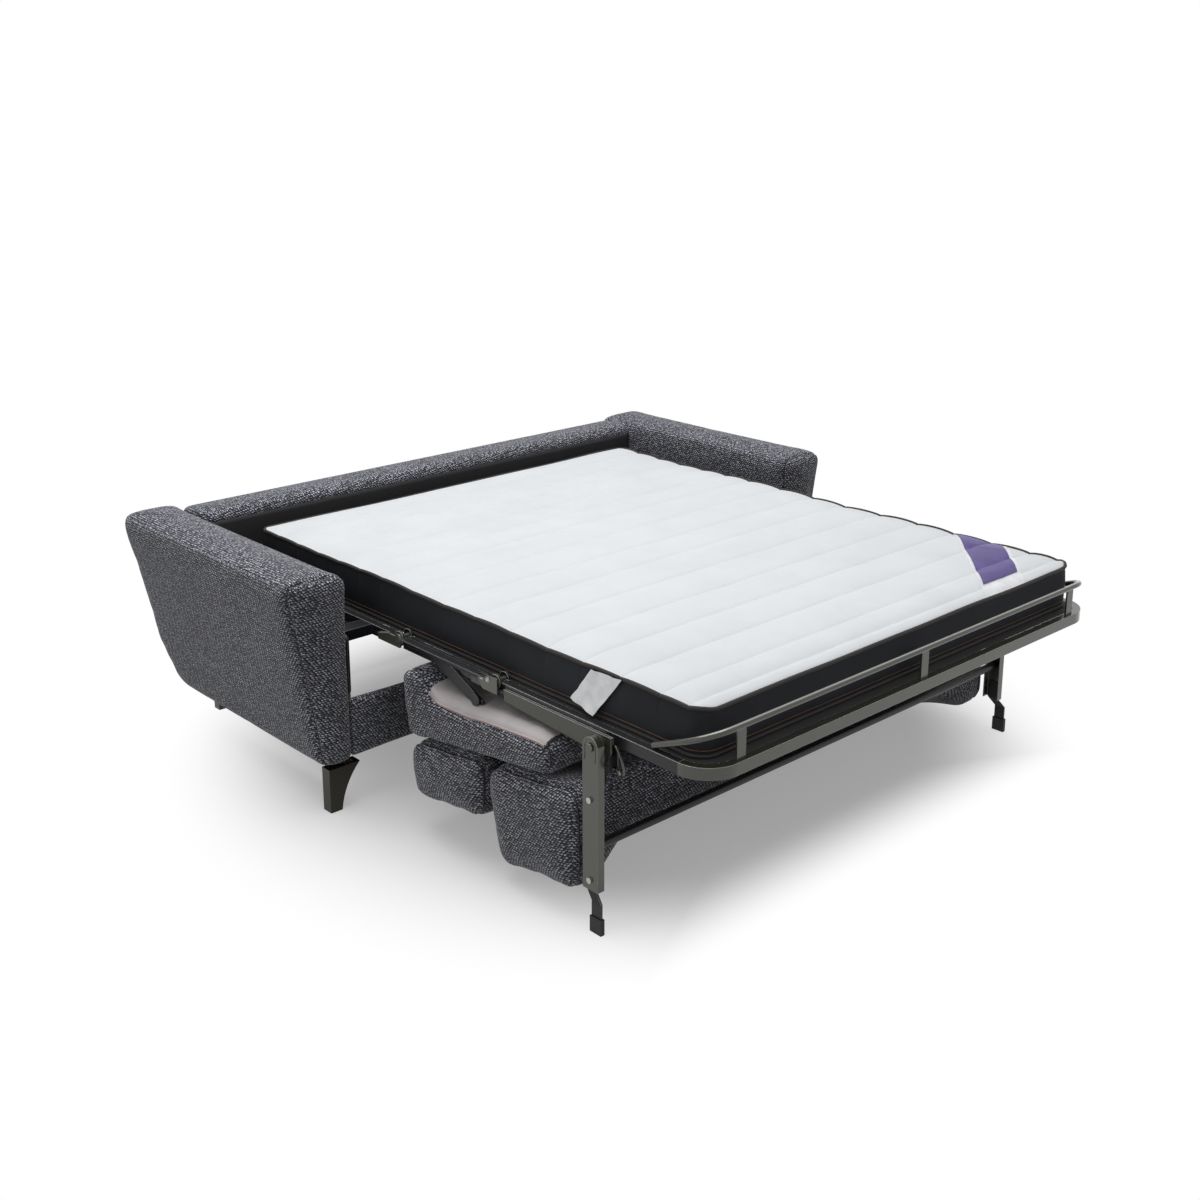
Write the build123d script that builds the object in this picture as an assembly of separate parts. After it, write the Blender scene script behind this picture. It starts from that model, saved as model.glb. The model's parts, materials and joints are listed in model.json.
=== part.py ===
from build123d import *
import math
import os

# Millimetres. The bed is open: +X is to the right seen from its foot, -Y towards the foot, +Z up.

# Sofa shell
sofa_width = 2000.0
arm_top_width = 168.0
arm_foot_width = 82.0
arm_height = 628.0
arm_underside = 118.0
arm_front = 708.0
arm_back_overhang = 177.0
arm_back_lean = 45.0
arm_back_curve = 130.0
arm_back_tuck = 70.0
arm_heel_radius = 90.0
arm_edge_radius = 24.0
back_thickness = 138.0
back_inset = 16.0
back_height = 628.0
back_heel_radius = 24.0
back_edge_radius = 32.0
lining_thickness = 8.0
lining_top = 592.0
base_rail_thickness = 42.0
base_rail_setback = 4.0
base_rail_bottom = 130.0
base_rail_top = 290.0
base_edge_radius = 14.0
side_board_thickness = 25.0
sofa_leg_top = 92.0
sofa_leg_toe = 34.0
sofa_leg_depth = 34.0
sofa_leg_inset = 12.0
sofa_leg_hollow = 14.0
sofa_leg_bend = 0.45
rear_leg_setback = 67.0
rear_leg_inset = 57.0
rear_leg_top = 40.0
rear_leg_toe = 28.0
rear_leg_rise = 290.0

# Mattress and its fold lines, measured from the head of the bed
mattress_inset = 35.0
mattress_start = 60.0
mattress_thickness = 124.0
head_length = 790.0
mid_length = 380.0
foot_length = 615.0
channel_depth = 5.0
head_channels = 6
fold_channels = 2
mid_channels = 1
foot_channels = 4
mattress_corner = 60.0
fold_margin = 6.0

# Bed frame
rail_top = 460.0
rail_height = 28.0
rail_width = 20.0
rail_wall = 2.0
rail_room = 97.0
rail_end_gap = 3.0
head_rail_start = 30.0
foot_corner_radius = 85.0
foot_rail_margin = 52.0
cross_tube_radius = 11.0
wire = 4.0
wire_pitch = 104.0
strand_pitch = 172.0

# Hinges
ear_thickness = 6.0
ear_radius = 17.0
ear_length = 92.0
pin_radius = 6.0
pin_head_radius = 10.0
pin_head = 4.0
running = 0.05
washer_gap = 0.3

# Link bar, side gusset and seat hanger on the outside of the rails
link_bar_size = 22.0
link_bar_wall = 3.0
link_bar_start = 40.0
link_bar_end = 26.0
gusset_start = 30.0
gusset_length = 360.0
gusset_drop = 34.0
hanger_start = 165.0
hanger_along = 250.0
hanger_width = 38.0
knob_radius = 15.0
knob_height = 9.0
hanger_pad = 70.0

# Folding legs
leg_station = 1535.0
leg_pivot_drop = 28.0
leg_standoff = 24.0
leg_width = 48.0
leg_depth = 20.0
leg_wall = 3.0
leg_plate_end = 95.0
leg_toe_shift = 22.0
leg_toe_out = 5.0
leg_toe_width = 30.0
shoe_height = 38.0
toe_strap = 5.0
shoe_wall = 3.0
leg_tube_height = 195.0
leg_bolt_radius = 7.0
leg_bolt_height = 5.0
upper_bolt_rise = 115.0

# Mattress guard at the foot
guard_radius = 7.0
guard_start = 1672.0
guard_height = 540.0
guard_post_width = 26.0
guard_post_thickness = 5.0
guard_post_inset = 107.0

# Sofa seat and back cushions, turned over under the bed
cushion_gap = 42.0
cushion_tilt = 7.8
seat_station = 868.0
seat_level = 242.0
seat_length = 545.0
seat_rear_thickness = 128.0
seat_front_thickness = 76.0
seat_nose_length = 96.0
seat_nose_rise = 40.0
seat_nose_flat = 58.0
seat_edge_radius = 21.0
seat_lining_thickness = 3.0
seat_lining_margin = 22.0
board_thickness = 22.0
board_inset = 160.0
headrest_length = 296.0
headrest_thickness = 136.0
headrest_draft = 30.0
backrest_gap = 8.0
backrest_length = 322.0
backrest_thickness = 230.0
backrest_rear_draft = 24.0
backrest_front_draft = 30.0
cushion_radius = 30.0
cushion_draw = 0.015
soft_gap = 0.3

# Side brackets that carry the head of the bed
bracket_thickness = 6.0
bracket_bottom = 300.0
bracket_start = 150.0
bracket_length = 545.0
arm_block_width = 46.0
arm_block_stations = (240.0, 640.0)

arm_inner = sofa_width / 2 - arm_top_width
rail_outer = arm_inner - rail_room
mattress_width = 2 * (rail_outer - mattress_inset)
cushion_width = 2 * (arm_inner - cushion_gap)
guard_post_offset = rail_outer - guard_post_inset
back_front = back_inset + back_thickness - arm_back_overhang
mattress_end = head_length + mid_length + foot_length
mattress_base = rail_top + soft_gap
mattress_top = mattress_base + mattress_thickness
bed_reach = mattress_end + foot_rail_margin
head_y = (bed_reach - arm_back_overhang) / 2
rail_base = rail_top - rail_height
rail_inner = rail_outer - rail_width
tube_level = rail_top - 2 * wire - cross_tube_radius
rail_end = pin_radius + rail_end_gap
ear_outer = rail_outer + ear_thickness
ear_inner = rail_inner - ear_thickness
leg_face = rail_outer + leg_standoff + leg_depth
toe_level = leg_face - leg_wall - toe_strap
rear_fold = head_length
front_fold = head_length + mid_length
fold_half = mattress_top - rail_top + fold_margin
tilt_cos = math.cos(math.radians(cushion_tilt))
tilt_sin = math.sin(math.radians(cushion_tilt))
parts = {}


def at(station):
    """Y of a station measured from the mattress head towards the foot."""
    return head_y - station


def side_face(points, radii=0.0):
    """Face in the YZ plane from (station, height) corners, rounded by radii."""
    outline = [Vector(at(station), height) for station, height in points]
    face = make_face(Polyline(*outline, close=True))
    if radii:
        face = fillet(face.vertices(), radii)
    return face


def across(face, x_low, x_high):
    """Solid from a YZ face, between two X planes."""
    return extrude(Plane.YZ.offset(x_low) * face, amount=x_high - x_low)


def mirrored(solid):
    return mirror(solid, about=Plane.YZ)


def block(x_low, x_high, start, end, z_low, z_high):
    size = (x_high - x_low, end - start, z_high - z_low)
    centre = ((x_low + x_high) / 2, at((start + end) / 2), (z_low + z_high) / 2)
    return Pos(*centre) * Box(*size)


def disc(station, height, x_low, x_high, radius):
    """Cylinder along X."""
    middle = Pos((x_low + x_high) / 2, at(station), height)
    return middle * (Rot(0, 90, 0) * Cylinder(radius, x_high - x_low))


def add_pair(name, right):
    """Right piece at +X and its mirror image, as two nodes."""
    parts[name + "_right"] = right
    parts[name + "_left"] = mirrored(right)


def both(solid):
    return Compound(children=[solid, mirrored(solid)])


def tilted(along, up):
    """Station and height of a point on the tilted cushion stack."""
    station = seat_station + along * tilt_cos - up * tilt_sin
    return station, seat_level + along * tilt_sin + up * tilt_cos


# Sofa shell

def swept_back(front, rear, low, high, heel_radius):
    """Side profile whose rear edge leans in and curves under."""
    profile = side_face([(front, high), (front, low), (rear + arm_back_lean + arm_back_tuck, low),
                         (rear + arm_back_lean, low + arm_back_curve), (rear, high)])
    heel = [corner for corner in profile.vertices() if corner.Y < high - 1 and corner.X > at(front) + 1]
    return fillet(heel, heel_radius)


def rounding_loss(lean):
    """How far a rounded top corner falls short of a face that leans out at the top."""
    return arm_edge_radius * ((1 + math.sin(lean)) / math.cos(lean) - 1)


def make_arm():
    side_lean = math.atan2(arm_top_width - arm_foot_width, arm_height - arm_underside)
    rear_lean = math.atan2(arm_back_lean, arm_height - arm_underside - arm_back_curve)
    outer = sofa_width / 2 + rounding_loss(side_lean)
    outer_foot = arm_inner + arm_foot_width
    rear = -arm_back_overhang - rounding_loss(rear_lean)
    slab = across(swept_back(arm_front, rear, arm_underside, arm_height, arm_heel_radius), arm_inner, outer)
    taper = Polyline((outer, arm_height), (outer_foot, arm_underside), (outer, arm_underside), close=True)
    wedge = extrude(Plane.XZ * make_face(taper), amount=2 * bed_reach, both=True)
    arm = slab - wedge
    rounded = [edge for edge in arm.edges() if edge.center().X > arm_inner + 1
               or edge.center().Z > arm_height - 1]
    return fillet(rounded, arm_edge_radius)


def make_back():
    profile = swept_back(back_front, back_inset - arm_back_overhang, base_rail_bottom, back_height,
                         back_heel_radius)
    top = profile.vertices().group_by(Axis.Y)[-1]
    return across(fillet(top, back_edge_radius), -arm_inner, arm_inner)


def make_sofa_leg(station):
    """Blade leg, upright outside and swept in to the toe."""
    outer = arm_inner + arm_foot_width - sofa_leg_inset
    top_inner = (outer - sofa_leg_top, arm_underside)
    toe_inner = (outer - sofa_leg_toe, 0)
    sweep_point = (outer - sofa_leg_toe - sofa_leg_hollow, arm_underside * sofa_leg_bend)
    edges = [Line((outer, 0), (outer, arm_underside)), Line((outer, arm_underside), top_inner),
             ThreePointArc(top_inner, sweep_point, toe_inner), Line(toe_inner, (outer, 0))]
    blade = Plane.XZ.offset(-at(station)) * make_face(edges)
    return both(extrude(blade, amount=sofa_leg_depth))


def make_rear_leg():
    """Tapered post cut off by the sloping underside of the back."""
    x = arm_inner - rear_leg_inset
    y = at(back_front - rear_leg_setback)
    toe = Pos(x, y, 0) * Rectangle(rear_leg_toe, rear_leg_toe)
    top = Pos(x, y, rear_leg_rise) * Rectangle(rear_leg_top, rear_leg_top)
    return both((loft([toe, top]) - parts["sofa_back"]).solid())


def make_shell():
    add_pair("arm", make_arm())
    parts["sofa_back"] = make_back()
    lining_front = back_front
    parts["back_lining"] = block(-arm_inner + base_edge_radius, arm_inner - base_edge_radius, lining_front,
                                 lining_front + lining_thickness, base_rail_top, lining_top)
    front = arm_front - base_rail_setback
    profile = side_face([(front - base_rail_thickness, base_rail_bottom), (front, base_rail_bottom),
                         (front, base_rail_top), (front - base_rail_thickness, base_rail_top)],
                        base_edge_radius)
    parts["base_front_rail"] = across(profile, -arm_inner, arm_inner)
    board_start = lining_front + lining_thickness
    add_pair("base_side_board", block(arm_inner - side_board_thickness, arm_inner, board_start,
                                      front - base_rail_thickness, base_rail_bottom, bracket_bottom))
    parts["front_legs"] = make_sofa_leg(arm_front - sofa_leg_depth - sofa_leg_inset)
    parts["rear_legs"] = make_rear_leg()


# Bed frame

def rail(start, end):
    """Rectangular tube along Y at the right of the bed."""
    outside = block(rail_inner, rail_outer, start, end, rail_base, rail_top)
    inside = block(rail_inner + rail_wall, rail_outer - rail_wall, start, end,
                   rail_base + rail_wall, rail_top - rail_wall)
    return outside - inside


def ear(fold, direction, x_low, x_high, bore):
    """Hinge ear welded to a rail: an eye on the fold line and a tail along the rail."""
    tail_end = fold + direction * ear_length
    tail = side_face([(fold, rail_base), (tail_end, rail_base), (tail_end, rail_base + ear_radius),
                      (fold + direction * ear_length / 2, rail_top), (fold, rail_top)])
    plate = across(tail, x_low, x_high) + disc(fold, rail_top, x_low, x_high, ear_radius)
    return plate - disc(fold, rail_top, x_low - 1, x_high + 1, bore)


def hinge_pin(fold):
    """Shouldered pin through both ears, headed outside and upset inside."""
    shank = disc(fold, rail_top, ear_inner - washer_gap, ear_outer, pin_radius)
    head = disc(fold, rail_top, ear_outer, ear_outer + pin_head, pin_head_radius)
    upset_end = ear_inner - washer_gap - pin_head
    upset = disc(fold, rail_top, upset_end, ear_inner - washer_gap, pin_head_radius)
    return shank + head + upset


def cross_tube(station, height, reach, radius):
    tube = disc(station, height, -reach, reach, radius)
    return tube - disc(station, height, -reach - 1, reach + 1, radius - rail_wall)


def wire_mesh(start, end):
    """Welded net: wires across the bed over strands along it."""
    wires = max(2, int((end - start) / wire_pitch) + 1)
    strands = max(2, int(2 * rail_inner / strand_pitch))
    top = rail_top
    step = (end - start - wire) / (wires - 1)
    side_step = 2 * rail_inner / (strands + 1)
    pieces = []
    for index in range(wires):
        near = start + index * step
        pieces.append(block(-rail_inner, rail_inner, near, near + wire, top - wire, top))
    for index in range(1, strands + 1):
        middle = -rail_inner + index * side_step
        pieces.append(block(middle - wire / 2, middle + wire / 2, start, end, top - 2 * wire, top - wire))
    return pieces[0].fuse(*pieces[1:])


def make_head_frame():
    front = rear_fold - rail_end
    rails = rail(head_rail_start, front) + ear(rear_fold, -1, rail_outer, ear_outer, pin_radius)
    add_pair("head_rail", rails)
    parts["head_rear_tube"] = cross_tube(head_rail_start + 2 * cross_tube_radius, tube_level,
                                         rail_inner, cross_tube_radius)
    parts["head_front_tube"] = cross_tube(rear_fold - ear_length, tube_level, rail_inner, cross_tube_radius)
    parts["head_mesh"] = wire_mesh(head_rail_start, rear_fold - 2 * ear_radius)
    parts["rear_hinge_pins"] = both(hinge_pin(rear_fold))
    plate = side_face([(bracket_start, bracket_bottom), (bracket_start + bracket_length, bracket_bottom),
                       (bracket_start + bracket_length, rail_top), (bracket_start, rail_top)], ear_radius)
    bracket = across(plate, arm_inner - bracket_thickness, arm_inner)
    for station in arm_block_stations:
        outside = block(rail_outer, arm_inner - bracket_thickness, station - arm_block_width / 2,
                        station + arm_block_width / 2, rail_base, rail_top)
        inside = block(rail_outer, arm_inner - bracket_thickness, station - arm_block_width / 2 + rail_wall,
                       station + arm_block_width / 2 - rail_wall, rail_base, rail_top - rail_wall)
        bracket += outside - inside
    add_pair("side_bracket", bracket)


def make_link_bar():
    start = rear_fold + link_bar_start
    end = front_fold - link_bar_end
    low = rail_top - link_bar_size / 2
    upright = block(ear_outer, ear_outer + link_bar_wall, start, end, low, low + link_bar_size)
    flange = block(ear_outer, ear_outer + link_bar_size, start, end, low + link_bar_size - link_bar_wall,
                   low + link_bar_size)
    tab = block(rail_outer, ear_outer, start, start + link_bar_size, low, rail_top)
    return upright + flange + tab


def seat_top(along):
    """Height above the seat's crown plane of its lined face."""
    slope = (seat_front_thickness - seat_rear_thickness) / seat_length
    return seat_rear_thickness + slope * along


def lined_face(along):
    """Height above the seat's crown plane of the lining's outside."""
    return seat_top(along) - seat_lining_thickness


def make_hanger():
    """Lever from the rail to a pad screwed to the lined face of the seat."""
    top_station = rear_fold + hanger_start
    low_station, low_level = tilted(hanger_along, lined_face(hanger_along) + soft_gap)
    knob_level = low_level + knob_radius + leg_wall
    half = hanger_width / 2
    lever = side_face([(top_station - half, rail_base), (top_station - half, rail_top - rail_wall),
                       (top_station + half, rail_top - rail_wall), (low_station + half, knob_level),
                       (low_station + half, low_level + leg_wall),
                       (low_station - half, low_level + leg_wall)])
    near = hanger_along - hanger_pad / 2
    far = hanger_along + hanger_pad / 2
    foot = [(near, lined_face(near) + soft_gap), (far, lined_face(far) + soft_gap),
            (far, lined_face(far) + soft_gap + leg_wall), (near, lined_face(near) + soft_gap + leg_wall)]
    pad = across(side_face([tilted(along, up) for along, up in foot]), rail_inner - hanger_pad / 2, ear_outer)
    knob = disc(low_station, knob_level, ear_outer, ear_outer + knob_height, knob_radius)
    return across(lever, rail_outer, ear_outer) + pad + knob


def make_mid_frame():
    start = rear_fold + rail_end
    end = front_fold - rail_end
    rails = rail(start, end)
    rails += ear(rear_fold, 1, ear_inner, rail_inner, pin_radius + running)
    rails += ear(front_fold, -1, rail_outer, ear_outer, pin_radius)
    add_pair("mid_rail", rails)
    add_pair("link_bar", make_link_bar())
    parts["mid_tube"] = cross_tube((rear_fold + ear_length + front_fold) / 2, tube_level,
                                   rail_inner, cross_tube_radius)
    parts["mid_mesh"] = wire_mesh(rear_fold + ear_length + wire, front_fold - 2 * ear_radius)
    parts["front_hinge_pins"] = both(hinge_pin(front_fold))


def make_foot_rail():
    """End of the foot frame: a tube bent round both corners."""
    start = bed_reach - foot_corner_radius
    deep = 4 * foot_corner_radius
    middle = Pos(0, at(bed_reach - deep / 2), rail_base + rail_height / 2)

    def slab(margin, height):
        size = (2 * (rail_outer - margin), deep - 2 * margin)
        outline = RectangleRounded(*size, foot_corner_radius - margin)
        return middle * extrude(outline, amount=height / 2, both=True)

    ring = slab(0, rail_height) - slab(rail_width, rail_height + 2)
    hollow = slab(rail_wall, rail_height - 2 * rail_wall) - slab(rail_width - rail_wall, rail_height)
    keep = block(-sofa_width, sofa_width, start, bed_reach + 1, 0, arm_height)
    return (ring - hollow) & keep


def make_guard():
    """Bent tube in a plane that climbs from the side rails to the front."""
    end = bed_reach - rail_width / 2
    rise = guard_height - guard_radius - (rail_top + guard_radius)
    climb = math.degrees(math.atan2(rise, end - guard_start))
    plane = Plane(origin=(0, at(guard_start), rail_top + guard_radius), x_dir=(1, 0, 0),
                  z_dir=(0, math.sin(math.radians(climb)), math.cos(math.radians(climb))))
    reach = math.hypot(rise, end - guard_start)
    half = rail_outer - rail_width / 2
    bend = foot_corner_radius - rail_width / 2
    corners = [(half, 0), (half, -reach), (-half, -reach), (-half, 0)]
    path = plane * FilletPolyline(*corners, radius=bend)
    section = Plane(origin=path @ 0, z_dir=path % 0) * Circle(guard_radius)
    return sweep(section, path=path)


def make_posts():
    station = bed_reach - rail_width / 2
    top = guard_height - 2 * guard_radius
    posts = []
    for x in (-guard_post_offset, 0, guard_post_offset):
        post = block(x - guard_post_width / 2, x + guard_post_width / 2, station - guard_post_thickness / 2,
                     station + guard_post_thickness / 2, rail_top, top + guard_radius)
        groove = disc(station, top + guard_radius, x - guard_post_width, x + guard_post_width, guard_radius)
        posts.append((post - groove).solid())
    return Compound(children=posts)


def make_foot_frame():
    side_end = bed_reach - foot_corner_radius
    rails = rail(front_fold + rail_end, side_end)
    rails += ear(front_fold, 1, ear_inner, rail_inner, pin_radius + running)
    gusset_low = front_fold + gusset_start
    gusset = side_face([(gusset_low, rail_base + gusset_drop / 2), (gusset_low, rail_base - gusset_drop / 3),
                        (gusset_low + gusset_length, rail_base - gusset_drop),
                        (gusset_low + gusset_length, rail_base + gusset_drop / 2)])
    low_corner = gusset.vertices().sort_by(Axis.Y)[0]
    rails += across(fillet(low_corner, gusset_drop / 2), rail_outer, ear_outer)
    add_pair("foot_side_rail", rails)
    parts["foot_end_rail"] = make_foot_rail()
    parts["foot_tube"] = cross_tube(leg_station - 2 * leg_width, tube_level, rail_inner, cross_tube_radius)
    parts["foot_mesh"] = wire_mesh(front_fold + ear_length + wire, side_end)
    parts["mattress_guard"] = make_guard()
    parts["guard_posts"] = make_posts()
    pivot = rail_top - leg_pivot_drop
    head_start = leg_face + washer_gap
    shank = disc(leg_station, pivot, ear_outer, head_start + pin_head, pin_radius)
    shoulder = disc(leg_station, pivot, ear_outer, leg_face - leg_wall - washer_gap, pin_head_radius)
    head = disc(leg_station, pivot, head_start, head_start + pin_head, pin_head_radius)
    parts["leg_pivots"] = both(shank + shoulder + head)


# Folding legs

def make_leg():
    """Pressed channel: a web outside, with flanges turned in towards the bed."""
    pivot = rail_top - leg_pivot_drop
    web_in = rail_outer + leg_standoff
    half = leg_width / 2
    body = side_face([(leg_station - half, leg_plate_end), (leg_station + half, leg_plate_end),
                      (leg_station + half, pivot), (leg_station - half, pivot)])
    channel = across(body, web_in, leg_face)
    channel += disc(leg_station, pivot, web_in, leg_face, half)
    core = side_face([(leg_station - half + leg_wall, 0), (leg_station + half - leg_wall, 0),
                      (leg_station + half - leg_wall, pivot), (leg_station - half + leg_wall, pivot)])
    hollow = across(core, web_in - 1, leg_face - leg_wall)
    hollow += disc(leg_station, pivot, web_in - 1, leg_face - leg_wall, half - leg_wall)
    bore = disc(leg_station, pivot, web_in, leg_face + 1, pin_radius + running)
    return channel - hollow - bore


def make_toe():
    """Cranked strap bolted inside the channel, stepping out and forward to the shoe."""
    web = toe_level
    toe_half = leg_toe_width / 2
    low = leg_station + leg_toe_shift
    crank_top = leg_plate_end
    crank_low = 2 * shoe_height - leg_toe_out / 2
    outline = side_face([
        (low - toe_half, shoe_wall), (low + toe_half, shoe_wall), (low + toe_half, crank_low),
        (leg_station + toe_half, crank_top), (leg_station + toe_half, crank_top + leg_width),
        (leg_station - toe_half, crank_top + leg_width), (leg_station - toe_half, crank_top),
        (low - toe_half, crank_low)])
    stepped = web + leg_toe_out
    step = Polyline((web, crank_top + leg_width), (web + toe_strap, crank_top + leg_width),
                    (web + toe_strap, crank_top - leg_wall), (stepped + toe_strap, crank_low - leg_wall),
                    (stepped + toe_strap, 0), (stepped, 0), (stepped, crank_low), (web, crank_top),
                    close=True)
    bent = extrude(Plane.XZ.offset(-at(low)) * make_face(step), amount=leg_width * 2, both=True)
    return across(outline, web, web + 3 * leg_depth) & bent


def make_shoe():
    """Rubber boot over the end of the toe."""
    web = toe_level + leg_toe_out
    low = leg_station + leg_toe_shift
    half = leg_toe_width / 2
    shell = block(web - shoe_wall, web + toe_strap + shoe_wall, low - half - shoe_wall,
                  low + half + shoe_wall, 0, shoe_height)
    socket = block(web, web + toe_strap, low - half, low + half, shoe_wall, shoe_height + 1)
    return shell - socket


def make_legs():
    add_pair("leg", make_leg())
    add_pair("leg_toe", make_toe())
    parts["leg_shoes"] = both(make_shoe())
    parts["leg_tube"] = cross_tube(leg_station, leg_tube_height, leg_face - leg_wall, cross_tube_radius)
    upper_level = leg_tube_height + upper_bolt_rise
    lower_level = leg_plate_end + leg_width / 2
    upper = disc(leg_station, upper_level, leg_face, leg_face + leg_bolt_height, leg_bolt_radius)
    lower = disc(leg_station, lower_level, leg_face, leg_face + leg_bolt_height, leg_bolt_radius)
    bolts = [upper, lower, mirrored(upper), mirrored(lower)]
    parts["leg_bolts"] = Compound(children=[bolt.solid() for bolt in bolts])


# Soft pieces

def mattress_piece(start, end, channels):
    """Length of mattress with sewn channels across its top."""
    pitch = (end - start) / channels
    valley = mattress_top - channel_depth
    edges = [Line((at(start), valley), (at(start), mattress_base)),
             Line((at(start), mattress_base), (at(end), mattress_base)),
             Line((at(end), mattress_base), (at(end), valley))]
    for index in range(channels):
        near = start + index * pitch
        edges.append(ThreePointArc((at(near), valley), (at(near + pitch / 2), mattress_top),
                                   (at(near + pitch), valley)))
    half = mattress_width / 2
    return across(make_face(edges), -half, half)


def rounded_end(solid, station):
    corners = [edge for edge in solid.edges().filter_by(Axis.Z) if abs(edge.center().Y - at(station)) < 1]
    return fillet(corners, mattress_corner)


def make_mattress():
    stops = [mattress_start, rear_fold - fold_half, rear_fold + fold_half, front_fold - fold_half,
             front_fold + fold_half, mattress_end]
    parts["mattress_head"] = rounded_end(mattress_piece(stops[0], stops[1], head_channels), stops[0])
    parts["mattress_rear_fold"] = mattress_piece(stops[1], stops[2], fold_channels)
    parts["mattress_middle"] = mattress_piece(stops[2], stops[3], mid_channels)
    parts["mattress_front_fold"] = mattress_piece(stops[3], stops[4], fold_channels)
    parts["mattress_foot"] = rounded_end(mattress_piece(stops[4], stops[5], foot_channels), stops[5])


def cushion(corners, radii):
    """Crowned pad: the outline swells from both drawn-in ends to the middle."""
    outline = [tilted(along, up) for along, up in corners]
    centre_station = sum(station for station, height in outline) / len(outline)
    centre_height = sum(height for station, height in outline) / len(outline)

    def section(x, share):
        points = [(centre_station + (station - centre_station) * share,
                   centre_height + (height - centre_height) * share) for station, height in outline]
        return Plane.YZ.offset(x) * side_face(points, radii)

    half = cushion_width / 2
    drawn = 1 - cushion_draw
    return loft([section(-half, drawn), section(0, 1), section(half, drawn)])


def tilted_block(x_half, start, end, low, high):
    corners = [(start, low), (end, low), (end, high), (start, high)]
    return across(side_face([tilted(along, up) for along, up in corners]), -x_half, x_half)


def make_cushions():
    reach = cushion_width
    nose_top = seat_top(0) + seat_nose_rise
    seat = cushion([(0, 0), (seat_length, 0), (seat_length, seat_front_thickness),
                    (seat_nose_length, seat_top(seat_nose_length)), (seat_nose_flat, nose_top),
                    (0, nose_top)], seat_edge_radius)
    clear = seat_length + cushion_radius
    recess = [(seat_nose_length, seat_top(seat_nose_length) - 2 * seat_lining_thickness),
              (clear, seat_top(clear) - 2 * seat_lining_thickness),
              (clear, 2 * seat_rear_thickness), (seat_nose_length, 2 * seat_rear_thickness)]
    seat -= across(side_face([tilted(along, up) for along, up in recess]), -reach, reach)
    seat -= tilted_block(reach, -reach, reach, -reach, 0)
    parts["seat_cushion"] = seat
    near = seat_nose_length + soft_gap
    far = seat_length - seat_lining_margin
    under_near = lined_face(near) - seat_lining_thickness + soft_gap
    under_far = lined_face(far) - seat_lining_thickness + soft_gap
    sheet = [(near, under_near), (far, under_far), (far, lined_face(far)), (near, lined_face(near))]
    half = cushion_width / 2 - seat_lining_margin * 2
    parts["seat_lining"] = across(side_face([tilted(along, up) for along, up in sheet]), -half, half)
    board_half = cushion_width / 2 - board_inset
    board_end = headrest_length + backrest_gap + backrest_length - board_inset
    parts["back_board"] = tilted_block(board_half, board_inset / 2, board_end,
                                       -board_thickness - soft_gap, -soft_gap)
    top = -board_thickness - 2 * soft_gap
    low = top - headrest_thickness
    headrest = cushion([(0, top), (0, low), (headrest_length - headrest_draft, low), (headrest_length, top)],
                       cushion_radius)
    parts["headrest_cushion"] = headrest - tilted_block(reach, -reach, reach, top, reach)
    start = headrest_length + backrest_gap
    end = start + backrest_length
    low = top - backrest_thickness
    backrest = cushion([(start, top), (start + backrest_rear_draft, low), (end - backrest_front_draft, low),
                        (end, top)], cushion_radius)
    parts["backrest_cushion"] = backrest - tilted_block(reach, -reach, reach, top, reach)


make_shell()
make_head_frame()
make_mid_frame()
make_foot_frame()
make_legs()
make_mattress()
make_cushions()
add_pair("seat_hanger", make_hanger())

os.makedirs("parts", exist_ok=True)
for name, shape in parts.items():
    shape.label = name
    export_step(shape, os.path.join("parts", name + ".step"))
    print(name, len(shape.solids()), round(shape.volume / 1000, 1), "cm3")
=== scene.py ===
import bisect
import json
import math
import bmesh
import bpy
from mathutils import Matrix, Vector, noise


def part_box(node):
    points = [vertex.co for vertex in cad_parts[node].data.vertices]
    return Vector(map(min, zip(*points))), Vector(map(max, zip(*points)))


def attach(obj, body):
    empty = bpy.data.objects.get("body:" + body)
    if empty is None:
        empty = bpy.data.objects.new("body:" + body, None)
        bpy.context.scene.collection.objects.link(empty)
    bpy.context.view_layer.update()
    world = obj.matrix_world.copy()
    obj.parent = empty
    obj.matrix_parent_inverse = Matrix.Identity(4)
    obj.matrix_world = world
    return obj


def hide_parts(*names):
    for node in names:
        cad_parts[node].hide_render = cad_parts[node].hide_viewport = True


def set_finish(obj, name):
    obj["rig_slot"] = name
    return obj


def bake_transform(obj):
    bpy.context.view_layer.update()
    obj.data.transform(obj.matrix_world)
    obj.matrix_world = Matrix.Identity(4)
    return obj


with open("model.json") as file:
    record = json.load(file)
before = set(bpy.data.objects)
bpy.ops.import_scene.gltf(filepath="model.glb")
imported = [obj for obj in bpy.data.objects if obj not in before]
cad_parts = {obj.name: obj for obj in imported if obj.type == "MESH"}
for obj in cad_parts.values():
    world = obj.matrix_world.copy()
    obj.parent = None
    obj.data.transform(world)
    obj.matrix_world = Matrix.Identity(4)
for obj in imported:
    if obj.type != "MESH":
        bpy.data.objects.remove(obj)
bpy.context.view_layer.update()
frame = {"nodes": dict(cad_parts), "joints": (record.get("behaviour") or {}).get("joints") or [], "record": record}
print("frame loaded:", len(frame["nodes"]), "nodes")


# plain mesh helpers

def place(name, data, *materials):
    obj = bpy.data.objects.new(name, data)
    bpy.context.scene.collection.objects.link(obj)
    for material in materials:
        data.materials.append(material)
    return obj


def fasten(obj, slot, body):
    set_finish(obj, slot)
    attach(obj, body)


def build(name, points, faces, *materials):
    mesh = bpy.data.meshes.new(name)
    mesh.from_pydata([tuple(point) for point in points], [], faces)
    mesh.update()
    return place(name, mesh, *materials)


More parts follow.
